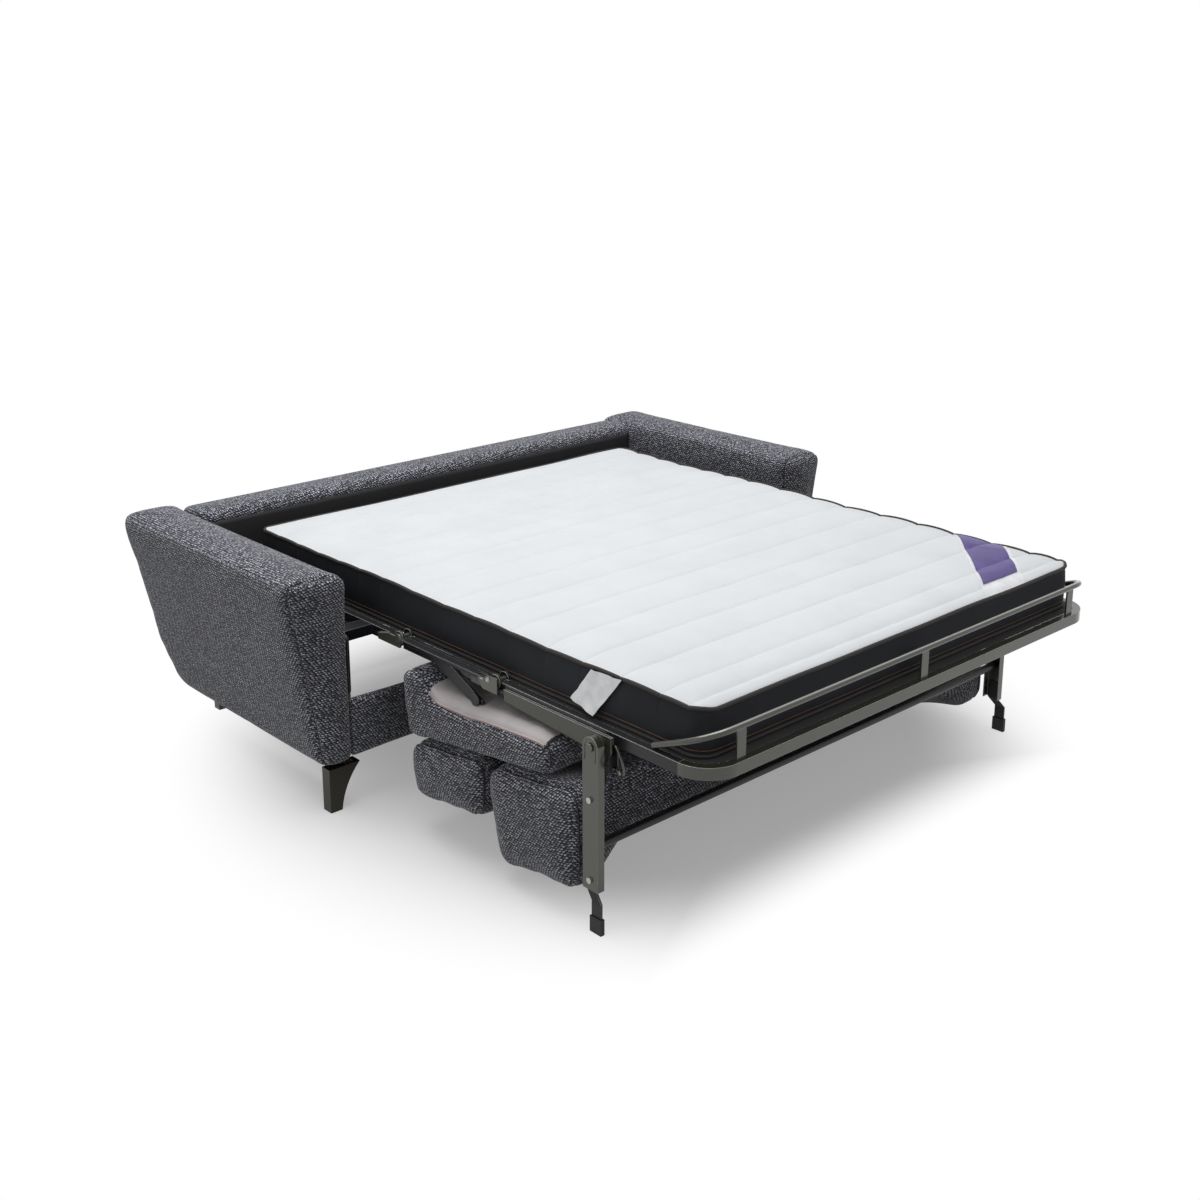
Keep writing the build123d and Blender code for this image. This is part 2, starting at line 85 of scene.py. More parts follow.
def smoothShade(obj, sharpAngle=None):
    obj.data.polygons.foreach_set("use_smooth", [True] * len(obj.data.polygons))
    if sharpAngle is not None:
        obj.data.set_sharp_from_angle(angle=math.radians(sharpAngle))


def applyModifiers(obj):
    graph = bpy.context.evaluated_depsgraph_get()
    graph.update()
    fresh = bpy.data.meshes.new_from_object(obj.evaluated_get(graph))
    old = obj.data
    obj.modifiers.clear()
    obj.data = fresh
    bpy.data.meshes.remove(old)


def thicken(obj, thickness, offset=-1):
    # offset -1 grows behind the faces, 1 in front of them
    solid = obj.modifiers.new("Solidify", "SOLIDIFY")
    solid.thickness = thickness
    solid.offset = offset
    applyModifiers(obj)


def editMesh(obj, change):
    bm = bmesh.new()
    bm.from_mesh(obj.data)
    change(bm)
    bm.to_mesh(obj.data)
    bm.free()
    obj.data.update()


def faceOut(obj):
    editMesh(obj, lambda bm: bmesh.ops.recalc_face_normals(bm, faces=bm.faces))


def clamp(value):
    return min(max(value, 0.0), 1.0)


def ease(value):
    value = clamp(value)
    return value * value * (3 - 2 * value)


def ripple(x, y, z, size, seed):
    # soft noise from -1 to 1 whose bumps are about as wide as size
    return noise.noise(Vector((x / size + seed, y / size, z / size)))


def gridFaces(wide, tall):
    # four-sided faces between the points of a grid stored row by row
    return [(j * wide + i, j * wide + i + 1, (j + 1) * wide + i + 1, (j + 1) * wide + i)
            for j in range(tall - 1) for i in range(wide - 1)]


def sheet(name, grid, spotAt, material, thickness, offset=-1):
    # thin cloth on a grid of points spotAt(s, t), s and t from 0 to 1
    across, along = grid
    points = [spotAt(i / across, j / along) for j in range(along + 1) for i in range(across + 1)]
    obj = build(name, points, gridFaces(across + 1, along + 1), material)
    thicken(obj, thickness, offset)
    return obj


def fromCorners(corners, s, t):
    # place on a sheet given by the two ends of its first edge and the two of its last
    first, second, third, fourth = corners
    return first.lerp(second, s).lerp(third.lerp(fourth, s), t)


def cord(name, path, radius, material, sides=8, closed=False, sharpAngle=None):
    # round cord along a list of points, turned as little as possible from ring to ring
    count = len(path)
    points = []
    up = None
    for index, spot in enumerate(path):
        if closed:
            ahead, behind = path[(index + 1) % count], path[index - 1]
        else:
            ahead, behind = path[min(index + 1, count - 1)], path[max(index - 1, 0)]
        along = (ahead - behind).normalized()
        if up is None:
            up = along.orthogonal().normalized()
        up = (up - along * up.dot(along)).normalized()
        side = along.cross(up)
        for turn in range(sides):
            angle = 2 * math.pi * turn / sides
            points.append(spot + (up * math.cos(angle) + side * math.sin(angle)) * radius)
    faces = []
    for ring in range(count if closed else count - 1):
        after = (ring + 1) % count
        for turn in range(sides):
            beside = (turn + 1) % sides
            faces.append((ring * sides + turn, ring * sides + beside,
                          after * sides + beside, after * sides + turn))
    if not closed:
        faces.append(tuple(range(sides))[::-1])
        faces.append(tuple((count - 1) * sides + turn for turn in range(sides)))
    obj = build(name, points, faces, material)
    smoothShade(obj, sharpAngle)
    return obj


# shader helpers

def feed(tree, socket, value):
    if isinstance(value, bpy.types.NodeSocket):
        tree.links.new(value, socket)
    else:
        socket.default_value = value


def addNode(tree, kind, sockets, **settings):
    node = tree.nodes.new("ShaderNode" + kind)
    for name, value in settings.items():
        setattr(node, name, value)
    for socket, value in sockets.items():
        feed(tree, node.inputs[socket], value)
    return node


def mathNode(tree, operation, first, second=None, limited=False):
    sockets = {0: first} if second is None else {0: first, 1: second}
    return addNode(tree, "Math", sockets, operation=operation, use_clamp=limited).outputs[0]


def scaleAdd(tree, value, factor, offset, limited=False):
    return mathNode(tree, "ADD", mathNode(tree, "MULTIPLY", value, factor), offset, limited)


def vectorNode(tree, operation, sockets):
    return addNode(tree, "VectorMath", sockets, operation=operation).outputs


def split(tree, vector):
    return addNode(tree, "SeparateXYZ", {0: vector}).outputs


def coordinates(tree):
    return addNode(tree, "TexCoord", {}).outputs


def mixColor(tree, share, first, second):
    return addNode(tree, "Mix", {"Factor": share, 6: first, 7: second}, data_type="RGBA").outputs[2]


def noiseNode(tree, vector, scale, detail=2.0, roughness=0.5):
    sockets = {"Vector": vector, "Scale": scale, "Detail": detail, "Roughness": roughness}
    return addNode(tree, "TexNoise", sockets).outputs


def spread(tree, value, low, high):
    sockets = {"Value": value, "From Min": low, "From Max": high}
    return addNode(tree, "MapRange", sockets, interpolation_type="SMOOTHSTEP").outputs["Result"]


def bumpNode(tree, height, strength, distance, **normal):
    sockets = {"Strength": strength, "Distance": distance, "Height": height, **normal}
    return addNode(tree, "Bump", sockets).outputs[0]


def newGroup(name, inputs, outputs):
    group = bpy.data.node_groups.new(name, "ShaderNodeTree")
    for label, kind, value in inputs:
        socket = group.interface.new_socket(label, in_out="INPUT", socket_type="NodeSocket" + kind)
        socket.default_value = value
    for label, kind in outputs:
        group.interface.new_socket(label, in_out="OUTPUT", socket_type="NodeSocket" + kind)
    return group, group.nodes.new("NodeGroupInput").outputs, group.nodes.new("NodeGroupOutput").inputs


def useGroup(tree, group, sockets):
    return addNode(tree, "Group", sockets, node_tree=group).outputs


# rows of yarn loops of uneven size, each loop a little lighter or darker than the next
yarnLook = {"rowSlope": -0.1, "driftScale": 70.0, "fibreScale": 1100.0, "stagger": 0.5, "scatter": 0.36,
            "loopEdge": (0.48, 0.90), "gapEdge": (0.1, 0.8), "fibreEdge": (0.25, 0.7),
            "fibreRise": (0.25, 0.75)}


def faceCoordinates(tree):
    # flat u, v on whichever of the three main directions a surface faces: u runs along the arm or bed
    coord = coordinates(tree)
    x, y, z = split(tree, coord["Object"])
    ax, ay, az = [mathNode(tree, "ABSOLUTE", part) for part in split(tree, coord["Normal"])]
    facesX = mathNode(tree, "GREATER_THAN", ax, mathNode(tree, "MAXIMUM", ay, az))
    facesZ = mathNode(tree, "GREATER_THAN", az, mathNode(tree, "MAXIMUM", ax, ay))
    turned = mathNode(tree, "MAXIMUM", facesX, facesZ)

    def between(share, first, second):
        return scaleAdd(tree, mathNode(tree, "SUBTRACT", second, first), share, first)

    slope = mathNode(tree, "MULTIPLY", mathNode(tree, "SUBTRACT", 1.0, turned), yarnLook["rowSlope"])
    v = scaleAdd(tree, slope, x, between(facesZ, z, x))
    return addNode(tree, "CombineXYZ", {0: between(turned, x, y), 1: v}).outputs[0], coord["Object"]


def makeYarnLoops():
    look = yarnLook
    group, given, result = newGroup("yarnLoops", [
        ("Loop Width", "Float", 0.008), ("Row Height", "Float", 0.006), ("Wander", "Float", 0.002),
        ("Gap", "Color", (0, 0, 0, 1)), ("Dark Yarn", "Color", (0.03, 0.03, 0.03, 1)),
        ("Light Yarn", "Color", (0.2, 0.2, 0.2, 1))], [("Color", "Color"), ("Height", "Float")])
    flat, spot = faceCoordinates(group)
    drift = noiseNode(group, spot, look["driftScale"])["Color"]
    centred = vectorNode(group, "SUBTRACT", {0: drift, 1: (0.5, 0.5, 0.5)})[0]
    scaled = vectorNode(group, "SCALE", {0: centred, "Scale": given["Wander"]})[0]
    moved = vectorNode(group, "ADD", {0: flat, 1: scaled})[0]
    size = addNode(group, "CombineXYZ", {0: given["Loop Width"], 1: given["Row Height"], 2: 1.0}).outputs[0]
    column, row = split(group, vectorNode(group, "DIVIDE", {0: moved, 1: size})[0])[:2]
    staggered = addNode(group, "CombineXYZ", {0: scaleAdd(group, row, look["stagger"], column), 1: row})
    sockets = {"Vector": staggered.outputs[0], "Scale": 1.0, "Randomness": look["scatter"]}
    cells = addNode(group, "TexVoronoi", sockets, voronoi_dimensions="2D").outputs
    loop = spread(group, mathNode(group, "SUBTRACT", 1.0, cells["Distance"]), *look["loopEdge"])
    tint = addNode(group, "SeparateColor", {0: cells["Color"]}).outputs[0]
    fibre = noiseNode(group, spot, look["fibreScale"])["Fac"]
    lit = mathNode(group, "MULTIPLY", tint, spread(group, fibre, *look["fibreEdge"]))
    yarn = mixColor(group, lit, given["Dark Yarn"], given["Light Yarn"])
    feed(group, result["Color"], mixColor(group, spread(group, loop, *look["gapEdge"]), given["Gap"], yarn))
    fuzzy = scaleAdd(group, fibre, *look["fibreRise"])
    feed(group, result["Height"], mathNode(group, "MULTIPLY", loop, fuzzy))
    return group


# slow change of tone over a large face, and painted top light: faces that look up are made lighter
mottleAndTopLightLook = {"detail": 4.0, "roughness": 0.6, "edge": (0.3, 0.7), "upward": (0.3, 0.95)}


def makeMottleAndTopLight():
    look = mottleAndTopLightLook
    group, given, result = newGroup("mottle", [
        ("Color", "Color", (0.5, 0.5, 0.5, 1)), ("Scale", "Float", 4.0), ("Amount", "Float", 0.2),
        ("Fade", "Float", 0.0)], [("Color", "Color")])
    coord = coordinates(group)
    cloud = noiseNode(group, coord["Object"], given["Scale"], look["detail"], look["roughness"])["Fac"]
    centred = mathNode(group, "SUBTRACT", spread(group, cloud, *look["edge"]), 0.5)
    # painted top light: the more a face looks up, the lighter it is made
    upward = spread(group, split(group, coord["Normal"])[2], *look["upward"])
    paintedTopLight = mathNode(group, "MULTIPLY", upward, given["Fade"])
    value = mathNode(group, "ADD", scaleAdd(group, centred, given["Amount"], 1.0), paintedTopLight)
    shade = addNode(group, "HueSaturation", {"Color": given["Color"], "Value": value})
    feed(group, result["Color"], shade.outputs[0])
    return group


# paint worn thin along edges, with a fine spray texture; the pale edge colour is partly wear and partly painted
# highlight, weighted to upper edges, and faces that look up can take a painted highlight too
wearAndHighlightLook = {"samples": 8, "edge": (0.02, 0.25), "patch": (60.0, 4.0, 0.7), "upward": (0.9, 0.3),
            "ragged": (0.3, 0.75), "topEdge": (0.72, 1.0), "cloud": (7.0, 3.0), "tone": (0.3, 0.85),
            "gloss": 0.16, "spray": (900.0, 1.0), "sprayBump": (0.06, 0.0004)}


def makePaintWearAndHighlight():
    look = wearAndHighlightLook
    group, given, result = newGroup("paintWear", [
        ("Paint", "Color", (0.1, 0.1, 0.1, 1)), ("Worn", "Color", (0.4, 0.4, 0.4, 1)),
        ("Wear", "Float", 0.3), ("Top Wear", "Float", 0.0), ("Roughness", "Float", 0.4),
        ("Edge Radius", "Float", 0.0015)], [("Color", "Color"), ("Roughness", "Float"), ("Normal", "Vector")])
    spot = coordinates(group)["Object"]
    soft = addNode(group, "Bevel", {"Radius": given["Edge Radius"]}, samples=look["samples"]).outputs[0]
    plain = addNode(group, "NewGeometry", {}).outputs["Normal"]
    turned = vectorNode(group, "DOT_PRODUCT", {0: soft, 1: plain})["Value"]
    edge = spread(group, mathNode(group, "SUBTRACT", 1.0, turned), *look["edge"])
    # edges that face up get more of the pale colour: painted highlight as well as wear
    lean = split(group, soft)[2]
    upper = scaleAdd(group, lean, *look["upward"], True)
    ragged = scaleAdd(group, noiseNode(group, spot, *look["patch"])["Fac"], *look["ragged"])
    edgeWearAndHighlight = mathNode(group, "MULTIPLY", mathNode(group, "MULTIPLY", edge, upper), ragged)
    # faces that look up take some of the pale colour too: a painted highlight
    paintedTopHighlight = mathNode(group, "MULTIPLY", spread(group, lean, *look["topEdge"]), given["Top Wear"])
    wearAndHighlight = scaleAdd(group, edgeWearAndHighlight, given["Wear"], paintedTopHighlight, True)
    cloud = noiseNode(group, spot, *look["cloud"])["Fac"]
    value = scaleAdd(group, cloud, *look["tone"])
    tone = addNode(group, "HueSaturation", {"Color": given["Paint"], "Value": value}).outputs[0]
    feed(group, result["Color"], mixColor(group, wearAndHighlight, tone, given["Worn"]))
    centred = mathNode(group, "SUBTRACT", cloud, 0.5)
    feed(group, result["Roughness"], scaleAdd(group, centred, look["gloss"], given["Roughness"]))
    spray = noiseNode(group, spot, *look["spray"])["Fac"]
    feed(group, result["Normal"], bumpNode(group, spray, *look["sprayBump"], Normal=soft))
    return group


yarnLoops = makeYarnLoops()
mottle = makeMottleAndTopLight()
paintWear = makePaintWearAndHighlight()


def newMaterial(name, plain):
    material = bpy.data.materials.new(name)
    material.use_nodes = True
    shader = material.node_tree.nodes["Principled BSDF"].inputs
    for socket, value in plain.items():
        shader[socket].default_value = value
    return material, material.node_tree, shader


def cloth(name, weave, tone, bump, plain):
    # a cloth whose tone names no colour takes that of its yarn loops
    material, tree, shader = newMaterial(name, plain)
    loops = useGroup(tree, yarnLoops, weave)
    shade = useGroup(tree, mottle, {"Color": loops["Color"], **tone})
    feed(tree, shader["Base Color"], shade["Color"])
    feed(tree, shader["Normal"], bumpNode(tree, loops["Height"], *bump))
    return material


# faces of the boucle that look up are made lighter: painted top light
boucleLook = {
    "weave": {"Loop Width": 0.0080, "Row Height": 0.0060, "Wander": 0.0024, "Gap": (0.006, 0.006, 0.008, 1),
              "Dark Yarn": (0.068, 0.070, 0.086, 1), "Light Yarn": (0.795, 0.815, 0.940, 1)},
    "tone": {"Scale": 3.0, "Amount": 0.2, "Fade": 0.9}, "bump": (1.0, 0.0021),
    "plain": {"Roughness": 0.95, "Sheen Weight": 0.35, "Sheen Roughness": 0.4}}
boucle = cloth("charcoalBoucle", **boucleLook)

# cloths too fine to colour thread by thread: colour, scale and amount of mottling, thread pitch, bump, finish
clothLook = {
    "blackLining": ((0.010, 0.010, 0.012, 1), 5.0, 0.35, 0.0012, (0.25, 0.0004), {"Roughness": 0.72}),
    "greyLining": ((0.555, 0.520, 0.518, 1), 9.0, 0.16, 0.0014, (0.2, 0.0004),
                   {"Roughness": 0.82, "Sheen Weight": 0.1}),
    "mattressKnit": ((0.800, 0.825, 0.845, 1), 6.0, 0.05, 0.0042, (0.35, 0.0007),
                     {"Roughness": 0.9, "Sheen Weight": 0.1}),
    "mattressBorder": ((0.0150, 0.0160, 0.0195, 1), 3.0, 0.3, 0.0011, (0.25, 0.0003),
                       {"Roughness": 0.7, "Specular IOR Level": 0.2}),
    "mattressPiping": ((0.014, 0.0115, 0.009, 1), 12.0, 0.5, 0.0016, (0.5, 0.0005), {"Roughness": 0.7}),
    "seamThread": ((0.016, 0.016, 0.018, 1), 20.0, 0.3, 0.0016, (0.6, 0.0005), {"Roughness": 0.8}),
    "copperThread": ((0.13, 0.065, 0.028, 1), 20.0, 0.4, 0.0010, (0.5, 0.0003), {"Roughness": 0.6}),
    "purpleSatin": ((0.066, 0.033, 0.215, 1), 14.0, 0.25, 0.0008, (0.2, 0.0003), {"Roughness": 0.42}),
    "pinkThread": ((0.400, 0.270, 0.262, 1), 20.0, 0.3, 0.0012, (0.5, 0.0004), {"Roughness": 0.75}),
    "whiteSatin": ((0.86, 0.87, 0.89, 1), 30.0, 0.16, 0.0008, (0.2, 0.0003), {"Roughness": 0.45}),
}
threadShape = {"Loop Width": 1.0, "Row Height": 0.8, "Wander": 0.2}  # in thread pitches


def fineCloth(name):
    color, scale, amount, pitch, bump, plain = clothLook[name]
    weave = {socket: pitch * share for socket, share in threadShape.items()}
    return cloth(name, weave, {"Color": color, "Scale": scale, "Amount": amount}, bump, plain)


cloths = {name: fineCloth(name) for name in clothLook}


def painted(name, coat, plain):
    material, tree, shader = newMaterial(name, plain)
    wearAndHighlight = useGroup(tree, paintWear, coat)
    for socket, label in (("Base Color", "Color"), ("Roughness", "Roughness"), ("Normal", "Normal")):
        feed(tree, shader[socket], wearAndHighlight[label])
    return material


# the pale edge colour of these paints is partly wear and partly painted highlight; a top share paints a highlight
# on faces that look up
paintLook = {
    "oliveFramePaint": ({"Paint": (0.050, 0.052, 0.038, 1), "Worn": (0.62, 0.62, 0.57, 1), "Wear": 0.9,
                         "Roughness": 0.24, "Edge Radius": 0.0030},
                        {"Metallic": 0.3, "Coat Weight": 0.5, "Coat Roughness": 0.08}),
    # the guard bar gets a pale line painted along its top: a painted highlight
    "oliveGuardPaint": ({"Paint": (0.040, 0.042, 0.031, 1), "Worn": (0.72, 0.72, 0.68, 1), "Wear": 0.5,
                         "Top Wear": 0.42, "Roughness": 0.22}, {"Metallic": 0.3, "Coat Weight": 0.5}),
    "blackFramePaint": ({"Paint": (0.008, 0.0085, 0.010, 1), "Worn": (0.55, 0.56, 0.60, 1), "Wear": 0.9,
                         "Top Wear": 0.03, "Roughness": 0.32, "Edge Radius": 0.0030},
                        {"Specular IOR Level": 0.3}),
    "bronzeLegPaint": ({"Paint": (0.026, 0.024, 0.016, 1), "Worn": (0.20, 0.18, 0.13, 1), "Wear": 0.3,
                        "Roughness": 0.2, "Edge Radius": 0.002}, {"Metallic": 0.6}),
    "zincPlate": ({"Paint": (0.42, 0.42, 0.39, 1), "Worn": (0.7, 0.7, 0.68, 1), "Wear": 0.4,
                   "Roughness": 0.34, "Edge Radius": 0.001}, {"Metallic": 1.0}),
    "mattRubber": ({"Paint": (0.012, 0.012, 0.012, 1), "Worn": (0.03, 0.03, 0.03, 1), "Wear": 0.3,
                    "Roughness": 0.68, "Edge Radius": 0.002}, {}),
}
paints = {name: painted(name, *look) for name, look in paintLook.items()}

# rails are black and the plates welded to their outer faces olive; the pale colour on their upper edges is a
# painted highlight
railLook = {"plateLine": 0.738, "rail": (0.009, 0.0095, 0.011, 1), "plate": (0.062, 0.064, 0.047, 1),
            "coat": {"Worn": (0.80, 0.81, 0.82, 1), "Wear": 1.0, "Top Wear": 0.03, "Roughness": 0.27,
                     "Edge Radius": 0.0034}, "plain": {"Specular IOR Level": 0.35}}


def makeRailPaint():
    look = railLook
    material = painted("railPaint", look["coat"], look["plain"])
    tree = material.node_tree
    sideways = mathNode(tree, "ABSOLUTE", split(tree, coordinates(tree)["Object"])[0])
    onPlate = mathNode(tree, "GREATER_THAN", sideways, look["plateLine"])
    feed(tree, tree.nodes["Group"].inputs["Paint"], mixColor(tree, onPlate, look["rail"], look["plate"]))
    return material


timberLook = {"stretch": (40.0, 2.5, 40.0), "grain": (3.0, 5.0, 0.65), "rings": (0.35, 0.65),
              "dark": (0.30, 0.19, 0.095, 1), "light": (0.47, 0.33, 0.19, 1),
              "tone": {"Scale": 5.0, "Amount": 0.2}, "bump": (0.3, 0.0005), "plain": {"Roughness": 0.7}}


def makeTimber():
    look = timberLook
    material, tree, shader = newMaterial("sawnTimber", look["plain"])
    sockets = {"Scale": look["stretch"], "Vector": coordinates(tree)["Object"]}
    grain = noiseNode(tree, addNode(tree, "Mapping", sockets).outputs[0], *look["grain"])["Fac"]
    wood = mixColor(tree, spread(tree, grain, *look["rings"]), look["dark"], look["light"])
    feed(tree, shader["Base Color"], useGroup(tree, mottle, {"Color": wood, **look["tone"]})["Color"])
    feed(tree, shader["Normal"], bumpNode(tree, grain, *look["bump"]))
    return material


railPaint = makeRailPaint()
sawnTimber = makeTimber()
print("materials made:", len(bpy.data.materials))

# the frame's own nodes keep their shape and take these finishes, by slot or by name
slotFinish = {"leg_metal": paints["bronzeLegPaint"], "frame_metal": paints["oliveFramePaint"],
              "black_metal": paints["blackFramePaint"], "zinc": paints["zincPlate"],
              "rubber": paints["mattRubber"], "timber": sawnTimber}
nameFinish = {"_rail_": railPaint, "link_bar": paints["blackFramePaint"],
              "mattress_guard": paints["oliveGuardPaint"]}
for part in frame["record"]["subparts"]:
    if part["material_slot"] in slotFinish:
        named = [finish for label, finish in nameFinish.items() if label in part["node"]]
        data = frame["nodes"][part["node"]].data
        data.materials.clear()
        data.materials.append(named[0] if named else slotFinish[part["material_slot"]])


# padded covers

def relax(obj, rounds):
    def smoothOut(bm):
        for step in range(rounds):
            bmesh.ops.smooth_vert(bm, verts=bm.verts, factor=0.5, use_axis_x=True, use_axis_y=True,
                                  use_axis_z=True)

    editMesh(obj, smoothOut)


def shift(obj, step):
    normals = [vertex.normal.copy() for vertex in obj.data.vertices]
    for vertex, normal in zip(obj.data.vertices, normals):
        vertex.co += normal * step


clothPhysics = {"use_pressure": True, "quality": 4, "mass": 0.4, "tension_stiffness": 25,
                "compression_stiffness": 25}


def inflate(obj, look):
    # short pressure simulation; no point ends further than the cap from where it started
    start = [vertex.co.copy() for vertex in obj.data.vertices]
    puff = obj.modifiers.new("Cloth", "CLOTH")
    for name, value in clothPhysics.items():
        setattr(puff.settings, name, value)
    puff.settings.uniform_pressure_force = look["pressure"]
    puff.settings.bending_stiffness = look["stiffness"]
    puff.settings.effector_weights.gravity = 0
    puff.point_cache.frame_start = 1
    puff.point_cache.frame_end = look["frames"]
    scene = bpy.context.scene
    for step in range(1, look["frames"] + 1):
        scene.frame_set(step)
    applyModifiers(obj)
    scene.frame_set(1)
    for vertex, before in zip(obj.data.vertices, start):
        moved = vertex.co - before
        if moved.length > look["cap"]:
            vertex.co = before + moved * (look["cap"] / moved.length)


def paddedCover(node, name, look):
    # the node's own shape as a stuffed cover: remeshed, drawn in a little and blown up again
    obj = place(name, frame["nodes"][node].data.copy())
    obj.data.materials.clear()
    obj.data.materials.append(boucle)
    remesh = obj.modifiers.new("Remesh", "REMESH")
    remesh.mode = "VOXEL"
    remesh.voxel_size = look["voxel"]
    applyModifiers(obj)
    relax(obj, look["relax"])
    shift(obj, -look["shrink"])
    inflate(obj, look)
    relax(obj, look["settle"])
    shift(obj, look["grow"])
    smooth = obj.modifiers.new("Subdivision", "SUBSURF")
    smooth.levels = 1
    smooth.render_levels = 1
    applyModifiers(obj)
    smoothShade(obj)
    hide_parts(node)
    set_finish(obj, "upholstery")
    return obj


def cutLoops(bm, origin, normal, trim=False):
    cut = bmesh.ops.bisect_plane(bm, geom=bm.verts[:] + bm.edges[:] + bm.faces[:], dist=1e-6,
                                 plane_co=origin, plane_no=normal, clear_outer=trim)
    return [item for item in cut["geom_cut"] if isinstance(item, bmesh.types.BMEdge)]


def orderedLoop(edges):
    # longest chain of cut edges, as points in order; every run starts it at the same edge
    left = dict.fromkeys(edges)
    best = []
    while left:
        edge = left.popitem()[0]
        chain = [edge.verts[0], edge.verts[1]]
        growing = True
        while growing:
            growing = False
            for other in chain[-1].link_edges:
                if other in left:
                    left.pop(other)
                    chain.append(other.other_vert(chain[-1]))
                    growing = True
                    break
        if len(chain) > len(best):
            best = chain
    return best


# a seam's cuts and reach are counted in its own widths
seamLook = {"width": 0.0046, "depth": 0.0075, "thread": 0.0017, "cuts": (-2.0, -1.0, 1.0, 2.0), "reach": 3,
            "least": 0.3, "spacing": 4}


def sewSeam(obj, name, body, origin, normal):
    # a pressed-in line round a cover where a plane cuts it, with its thread lying in the groove
    look = seamLook
    origin, normal = Vector(origin), Vector(normal).normalized()
    bm = bmesh.new()
    bm.from_mesh(obj.data)
    for offset in look["cuts"]:
        cutLoops(bm, origin + normal * (offset * look["width"]), normal)
    path = orderedLoop(cutLoops(bm, origin, normal))
    bm.normal_update()
    for vertex in bm.verts:
        away = (vertex.co - origin).dot(normal) / look["width"]
        if abs(away) < look["reach"]:
            side = vertex.normal - normal * vertex.normal.dot(normal)
            if side.length > look["least"]:
                vertex.co -= side.normalized() * (look["depth"] * math.exp(-away * away))
    if path[0] == path[-1]:
        path.pop()
    spots = [vertex.co.copy() for vertex in path]
    bm.to_mesh(obj.data)
    bm.free()
    smoothShade(obj)
    length = sum((after - before).length for before, after in zip(spots, spots[1:]))
    step = max(1, round(look["thread"] * look["spacing"] * len(spots) / length))
    thread = cord(name, spots[::step], look["thread"], cloths["seamThread"], 6, True)
    fasten(thread, "upholstery", body)
    return thread


def mirrorPiece(obj, name, body):
    # the same piece on the other side of the sofa
    copy = place(name, obj.data.copy())
    copy.data.transform(Matrix.Scale(-1, 4, (1, 0, 0)))
    copy.data.flip_normals()
    smoothShade(copy)
    fasten(copy, obj["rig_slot"], body)
    return copy


coverLook = {
    "arm": {"voxel": 0.009, "relax": 4, "shrink": 0.0005, "pressure": 3.0, "stiffness": 6.0, "frames": 16,
            "cap": 0.006, "settle": 6, "grow": 0.0028, "fill": 0.9, "seam": 0.022},
    "back": {"voxel": 0.012, "relax": 3, "shrink": 0.002, "pressure": 3.0, "stiffness": 6.0, "frames": 14,
             "cap": 0.005, "settle": 3, "grow": 0.0015, "fill": 0.9, "overLining": 0.03, "clear": 0.0008},
    "rail": {"voxel": 0.010, "relax": 2, "shrink": 0.002, "pressure": 2.0, "stiffness": 6.0, "frames": 10,
             "cap": 0.004, "settle": 2, "grow": 0.0, "fill": 0.9},
    "cushion": {"voxel": 0.011, "relax": 3, "shrink": 0.001, "pressure": 4.0, "stiffness": 3.0, "frames": 20,
                "cap": 0.007, "settle": 4, "grow": 0.005, "fill": 0.75, "endSeam": 0.026},
}


def makeArms():
    look = coverLook["arm"]
    arm = paddedCover("arm_left", "armCoverLeft", look)
    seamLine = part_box("arm_left")[0].y + look["seam"]
    seam = sewSeam(arm, "armSeamLeft", "sofa", (0, seamLine, 0), (0, 1, 0))
    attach(arm, "sofa")
    other = mirrorPiece(arm, "armCoverRight", "sofa")
    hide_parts("arm_right")
    mirrorPiece(seam, "armSeamRight", "sofa")
    print("arms covered:", len(arm.data.vertices), "points each")


def makeBack():
    look = coverLook["back"]
    back = paddedCover("sofa_back", "backCover", look)
    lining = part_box("back_lining")[1]
    for vertex in back.data.vertices:
        covered = 1 - ease((vertex.co.z - lining.z) / look["overLining"])
        vertex.co.y += max(0.0, lining.y + look["clear"] - vertex.co.y) * covered
    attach(back, "sofa")
    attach(paddedCover("base_front_rail", "baseRailCover", coverLook["rail"]), "sofa")
    print("back and base rail covered")


# how the turned-over cushions lie: the seat's lined side falls away at both ends, the backrest's lower front
# edge hangs lower at its ends than between them, and all three are pressed flat where they meet the board
# or each other; along and up follow the cushions' own slope
sagLook = {"origin": Vector((0, -0.038, 0.242)), "tilt": 7.8, "boardHalf": 0.66, "boardTop": -0.0003,
           "boardBase": -0.0224, "endBulge": 0.0095, "endReach": 0.05, "seatFlat": 0.735, "seatReach": 0.050,
           "seatDip": 0.018, "seatStart": 0.088, "seatRise": 0.05, "seatPeak": 0.22, "seatFade": 0.33,
           "seatLoss": 0.75, "seatDepth": 0.10, "headrestEnd": 0.2990, "backrestStart": 0.3010,
           "backLift": 0.075, "backFlat": 0.60, "backReach": 0.13, "backDrop": 0.10, "backDepth": 0.15,
           "backFrom": 0.40, "backRise": 0.20}
tilt = math.radians(sagLook["tilt"])
alongAxis = Vector((0, -math.cos(tilt), math.sin(tilt)))
upAxis = Vector((0, alongAxis.z, -alongAxis.y))


